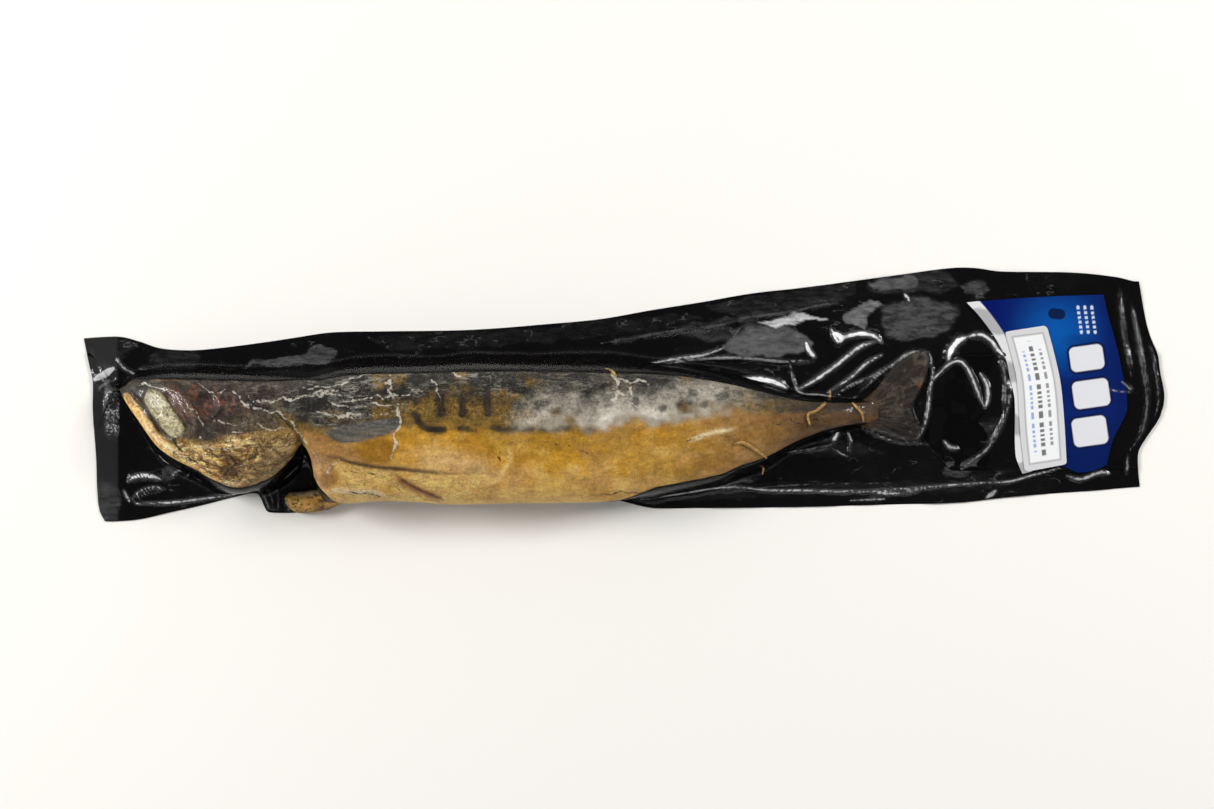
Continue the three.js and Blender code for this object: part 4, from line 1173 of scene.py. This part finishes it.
LABEL_LEFT = [(-17.5, 405), (-9, 402), (15.5, 401.5), (24.5, 399.5), (33.5, 397.5), (42.5, 393),
              (52.5, 386), (59.5, 380)]
LABEL_RIGHT = [(-13.5, 443), (-4, 446), (2, 451.5), (11, 452), (24.5, 450), (40.5, 447),
               (54, 443.5),
               (63, 441.5)]
LABEL_LOW = [(400, -18), (405, -17.5), (422, -14), (431, -17), (443, -13.5), (452, -4)]
LABEL_HIGH = [(380, 59.5), (385, 60), (414, 62), (441.5, 63)]


def label_grid(rows, columns):
    """Rows up and columns across, each row running between the left and the right edge line."""
    v = np.linspace(0, 1, rows)[:, None]
    u = np.linspace(0, 1, columns)[None]
    left, right = through(LABEL_LEFT, -17.5 + 77 * v), through(LABEL_RIGHT, -13.5 + 76.5 * v)
    x = left + (right - left) * u
    low, high = through(LABEL_LOW, x), through(LABEL_HIGH, x)
    return x, low + (high - low) * v


def paper_z(x, y):
    """The height of a card under the front film: the film's own, smoothed, and a gap less."""
    return TABLE_GAP + FILM + 0.6 + 0.55 * grain(x, y, 16, 71, 2) * 0.6 + 0.2


lx, ly = label_grid(250, 220)
card = Paint(lx, ly, ink(3, 32, 100))
# Painted highlight: a lighter blue round patch near the card's top middle. The next coats make the card
# darker towards its left, right and lower edges, and blotch it.
card.coat(ease(0.0, 1.0, 1 - np.hypot((lx - 421) / 26, (ly - 46) / 26)), ink(4, 86, 168), 0.9)
card.coat(ease(-4, 6, -(lx - 392) * 0.78 + (58 - ly) * -0.2 + 6), ink(1, 14, 92), 0.8)
card.coat(ease(438, 452, lx), ink(3, 22, 82), 0.8)
card.coat(1 - ease(-14, 12, ly), ink(2, 22, 74), 0.7)
card.coat(ease(0.1, 0.7, grain(lx * 0.5 + ly * 0.5, ly, 14, 81)), ink(2, 24, 90), 0.5)
BAND_LINE = [(405, -19), (402, -9), (401.5, 15.5), (399.5, 24.5), (397.5, 33.5), (393, 42.5),
             (386, 52.5), (378.5, 61)]
band, _, side = from_line(lx, ly, BAND_LINE)
silver = 1 - ease(4.6, 5.0, np.where(side > 0, 0, band))
card.coat(silver, ink(224, 223, 222))
# Painted shade: wavy grey bands across the silver band.
card.coat(silver * ease(0.0, 0.6, np.sin(ly * 0.28 + 0.6 * grain(lx, ly, 9, 82))),
          ink(150, 148, 150), 0.75)

# Plain rounded blocks in place of a name: the middle, half the width and half the height.
BLOCKS = [(434, 34.5, 7.6, 5.6), (436, 18.5, 8.2, 6.2), (435.4, 1.6, 7.8, 6.4)]
BLOCK_CORNER, BLOCK_TILT = 2.5, 0.14
for middle_x, middle_y, half_wide, half_tall in BLOCKS:
    turned_x = (lx - middle_x) + BLOCK_TILT * (ly - middle_y)
    turned_y = (ly - middle_y) - BLOCK_TILT * (lx - middle_x)
    past_x = np.maximum(np.abs(turned_x) - half_wide + BLOCK_CORNER, 0)
    past_y = np.maximum(np.abs(turned_y) - half_tall + BLOCK_CORNER, 0)
    away = np.hypot(past_x, past_y) - BLOCK_CORNER
    card.coat(1 - ease(0.9, 1.4, away), ink(8, 20, 66))
    card.coat(1 - ease(-0.2, 0.3, away), ink(222, 222, 226))
for shift in (0, 3.1, 6.2):
    away, along_bar = from_line(lx, ly, [(430 + shift, 57.5), (431.6 + shift, 46)],
                                smooth=False)[:2]
    card.coat((1 - ease(0.5, 0.8, away)) * ease(-0.4, -0.1, np.sin(along_bar * 34)),
              ink(214, 222, 236), 0.9)
away = from_line(lx, ly, [(419, 54.5), (422, 54.2)], smooth=False)[0]
card.coat(1 - ease(2.2, 2.6, away), ink(6, 16, 50), 0.9)
label = mesh_piece("printed_label", [np.stack([lx, ly, paper_z(lx, ly)], -1)])
colour_points(label, "paint", card.colour)


def print_look(name, rough):
    """Printed paper: the ink's colour on the points, evenly glossy."""
    material, start = new_look(name)
    paint = start.node("Attribute", {"attribute_name": "paint"}, output="Color")
    finish_look(start, start.node("BsdfPrincipled", {},
                                  {"Base Color": paint, "Roughness": rough, "IOR": 1.26}))
    return material


label.data.materials.append(print_look("label_print", 0.35))
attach(label, "root")
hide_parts("printed_label")

# ---- Product sticker ----
# A white paper sticker on the label, edged in grey, with plain bars where its lines of type are.

STICKER_TALL, STICKER_WIDE, STICKER_CORNER = 63.0, 21.0, 1.6
STICKER_LEFT = [(-16.5, 406), (2, 404), (24.5, 402.5), (38, 399.5), (46.5, 397)]
STICKER_RIGHT = [(-13.5, 425), (11, 423.5), (24.5, 422), (38, 419), (49, 416)]
v = np.linspace(0, 1, 200)[:, None]
u = np.linspace(0, 1, 90)[None]
left = through(STICKER_LEFT, -16.5 + 63 * v)
right = through(STICKER_RIGHT, -13.5 + 62.5 * v)
near_end = np.clip(np.abs(v - 0.5) * 64 - 30.4, 0, STICKER_CORNER) / STICKER_CORNER
corner = STICKER_CORNER * (1 - np.sqrt(1 - near_end**2))
sx = left + corner + (right - left - 2 * corner) * u
sy = (-16.5 + 63 * v) * (1 - u) + (-13.5 + 62.5 * v) * u
note = Paint(sx, sy, ink(240, 240, 240))
across_u, along_v = (u - 0.5) * STICKER_WIDE + 0 * v, (v - 0.5) * STICKER_TALL + 0 * u
inset = np.minimum(STICKER_WIDE / 2 - np.abs(across_u), STICKER_TALL / 2 - np.abs(along_v))
note.coat(1 - ease(2.6, 3.0, inset), ink(205, 203, 204), 0.8)
note.coat(np.exp(-((inset - 2.9) / 0.4) ** 2), ink(150, 148, 150), 0.8)
# Rows of dashes: place across, half width, first and last place along, and colour.
DASH_ROWS = [(-4.0, 0.55, -22, 22, ink(120, 120, 124)), (0.2, 0.9, -26, 26, ink(60, 62, 66)),
             (4.2, 0.5, -24, 22, ink(120, 150, 214))]
dashes = ease(-0.5, -0.2, np.sin(along_v * 2.2 + 3 * np.sin(along_v * 0.37)))
for place, width, first, last, tone in DASH_ROWS:
    row = 1 - ease(width, width + 0.25, np.abs(across_u + place))
    row = row * ease(first, first + 0.5, along_v) * (1 - ease(last - 0.5, last, along_v))
    note.coat(row * dashes, tone, 0.85)
sticker = mesh_piece("product_sticker", [np.stack([sx, sy, paper_z(sx, sy) + 0.35], -1)])
colour_points(sticker, "paint", note.colour)
sticker.data.materials.append(print_look("sticker_paper", 0.5))
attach(sticker, "root")
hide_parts("product_sticker")

# ---- Front film ----
# The clear front web: drawn tight over the fish by the vacuum, it follows the skin, tents down
# to the back film beside it, and is heat-sealed to it all round with a woven pattern at the head end.

fx, fy, fz, f_on = film_places(FILM_STATIONS, (FLANGE_COLUMNS, SIDE_COLUMNS, 78), 0.35)
front_film = mesh_piece("front_film", [np.stack([fx, fy, fz], -1)])
# Painted highlights along the folds and painted sheens, left off where the film lies on the fish.
near, half, strength, sheen = film_highlights(fx, fy)
bare = np.where(f_on > 0.5, 1 - ease(-2, 4, fx) * (1 - ease(336, 350, fx)), 1)
colour_points(front_film, "paint", np.stack([near * bare, half, strength, sheen * bare], axis=-1))
front_film.data.materials.append(film_look("clear_film", False))
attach(front_film, "root")
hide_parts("front_film")

# ---- Table, lights and camera ----
# A plain pale table top, two softboxes to the left and right behind the pack for gloss on
# its folds beside their painted highlights, a weak fill in front, a pale room and a camera straight
# above.


def softbox(name, place, size, power):
    """A rectangular studio light that looks at the pack's middle."""
    light = bpy.data.lights.new(name, "AREA")
    light.shape = "RECTANGLE"
    light.size, light.size_y = size
    light.energy = power
    lamp = bpy.data.objects.new(name, light)
    lamp.location = place
    lamp.rotation_euler = (-mathutils.Vector(place)).to_track_quat("-Z", "Y").to_euler()
    bpy.context.scene.collection.objects.link(lamp)


TABLE_HALF = 3.0
TABLE_COLOUR = (0.945, 0.92, 0.862, 1)
ROOM_COLOUR = (0.97, 0.98, 1, 1)
CAMERA_PLACE = (-0.0077, -0.0045, 2.2)
LENS = 145
corners = [(-TABLE_HALF, -TABLE_HALF, 0), (TABLE_HALF, -TABLE_HALF, 0), (TABLE_HALF, TABLE_HALF, 0),
           (-TABLE_HALF, TABLE_HALF, 0)]
table_mesh = bpy.data.meshes.new("table")
table_mesh.from_pydata(corners, [], [(0, 1, 2, 3)])
table = bpy.data.objects.new("table", table_mesh)
bpy.context.scene.collection.objects.link(table)
material, start = new_look("table")
finish_look(start, start.node("BsdfPrincipled", {}, {"Base Color": TABLE_COLOUR, "Roughness": 0.9}))
table_mesh.materials.append(material)

softbox("left_softbox", (-1.3, 0.35, 0.9), (0.6, 0.4), 18.5)
softbox("right_softbox", (1.25, 0.55, 0.95), (0.55, 0.4), 16.5)
softbox("front_fill", (0, -1.3, 1.4), (1.2, 0.8), 2.5)
world = bpy.data.worlds.new("studio")
world.use_nodes = True
room = Wire(world.node_tree)
height = room.node("SeparateXYZ", {}, {0: room.node("TexCoord", output="Generated")}, output="Z")
background = world.node_tree.nodes["Background"]
brightness = (1 - height.between(0.15, 0.9)) * 0.62 + 0.1
world.node_tree.links.new(brightness.socket, background.inputs["Strength"])
background.inputs["Color"].default_value = ROOM_COLOUR
bpy.context.scene.world = world

camera_data = bpy.data.cameras.new("camera")
camera_data.lens = LENS
camera_data.sensor_width = 36
camera = bpy.data.objects.new("camera", camera_data)
camera.location = CAMERA_PLACE
bpy.context.scene.collection.objects.link(camera)
bpy.context.scene.camera = camera
bpy.context.scene.view_settings.view_transform = "Standard"
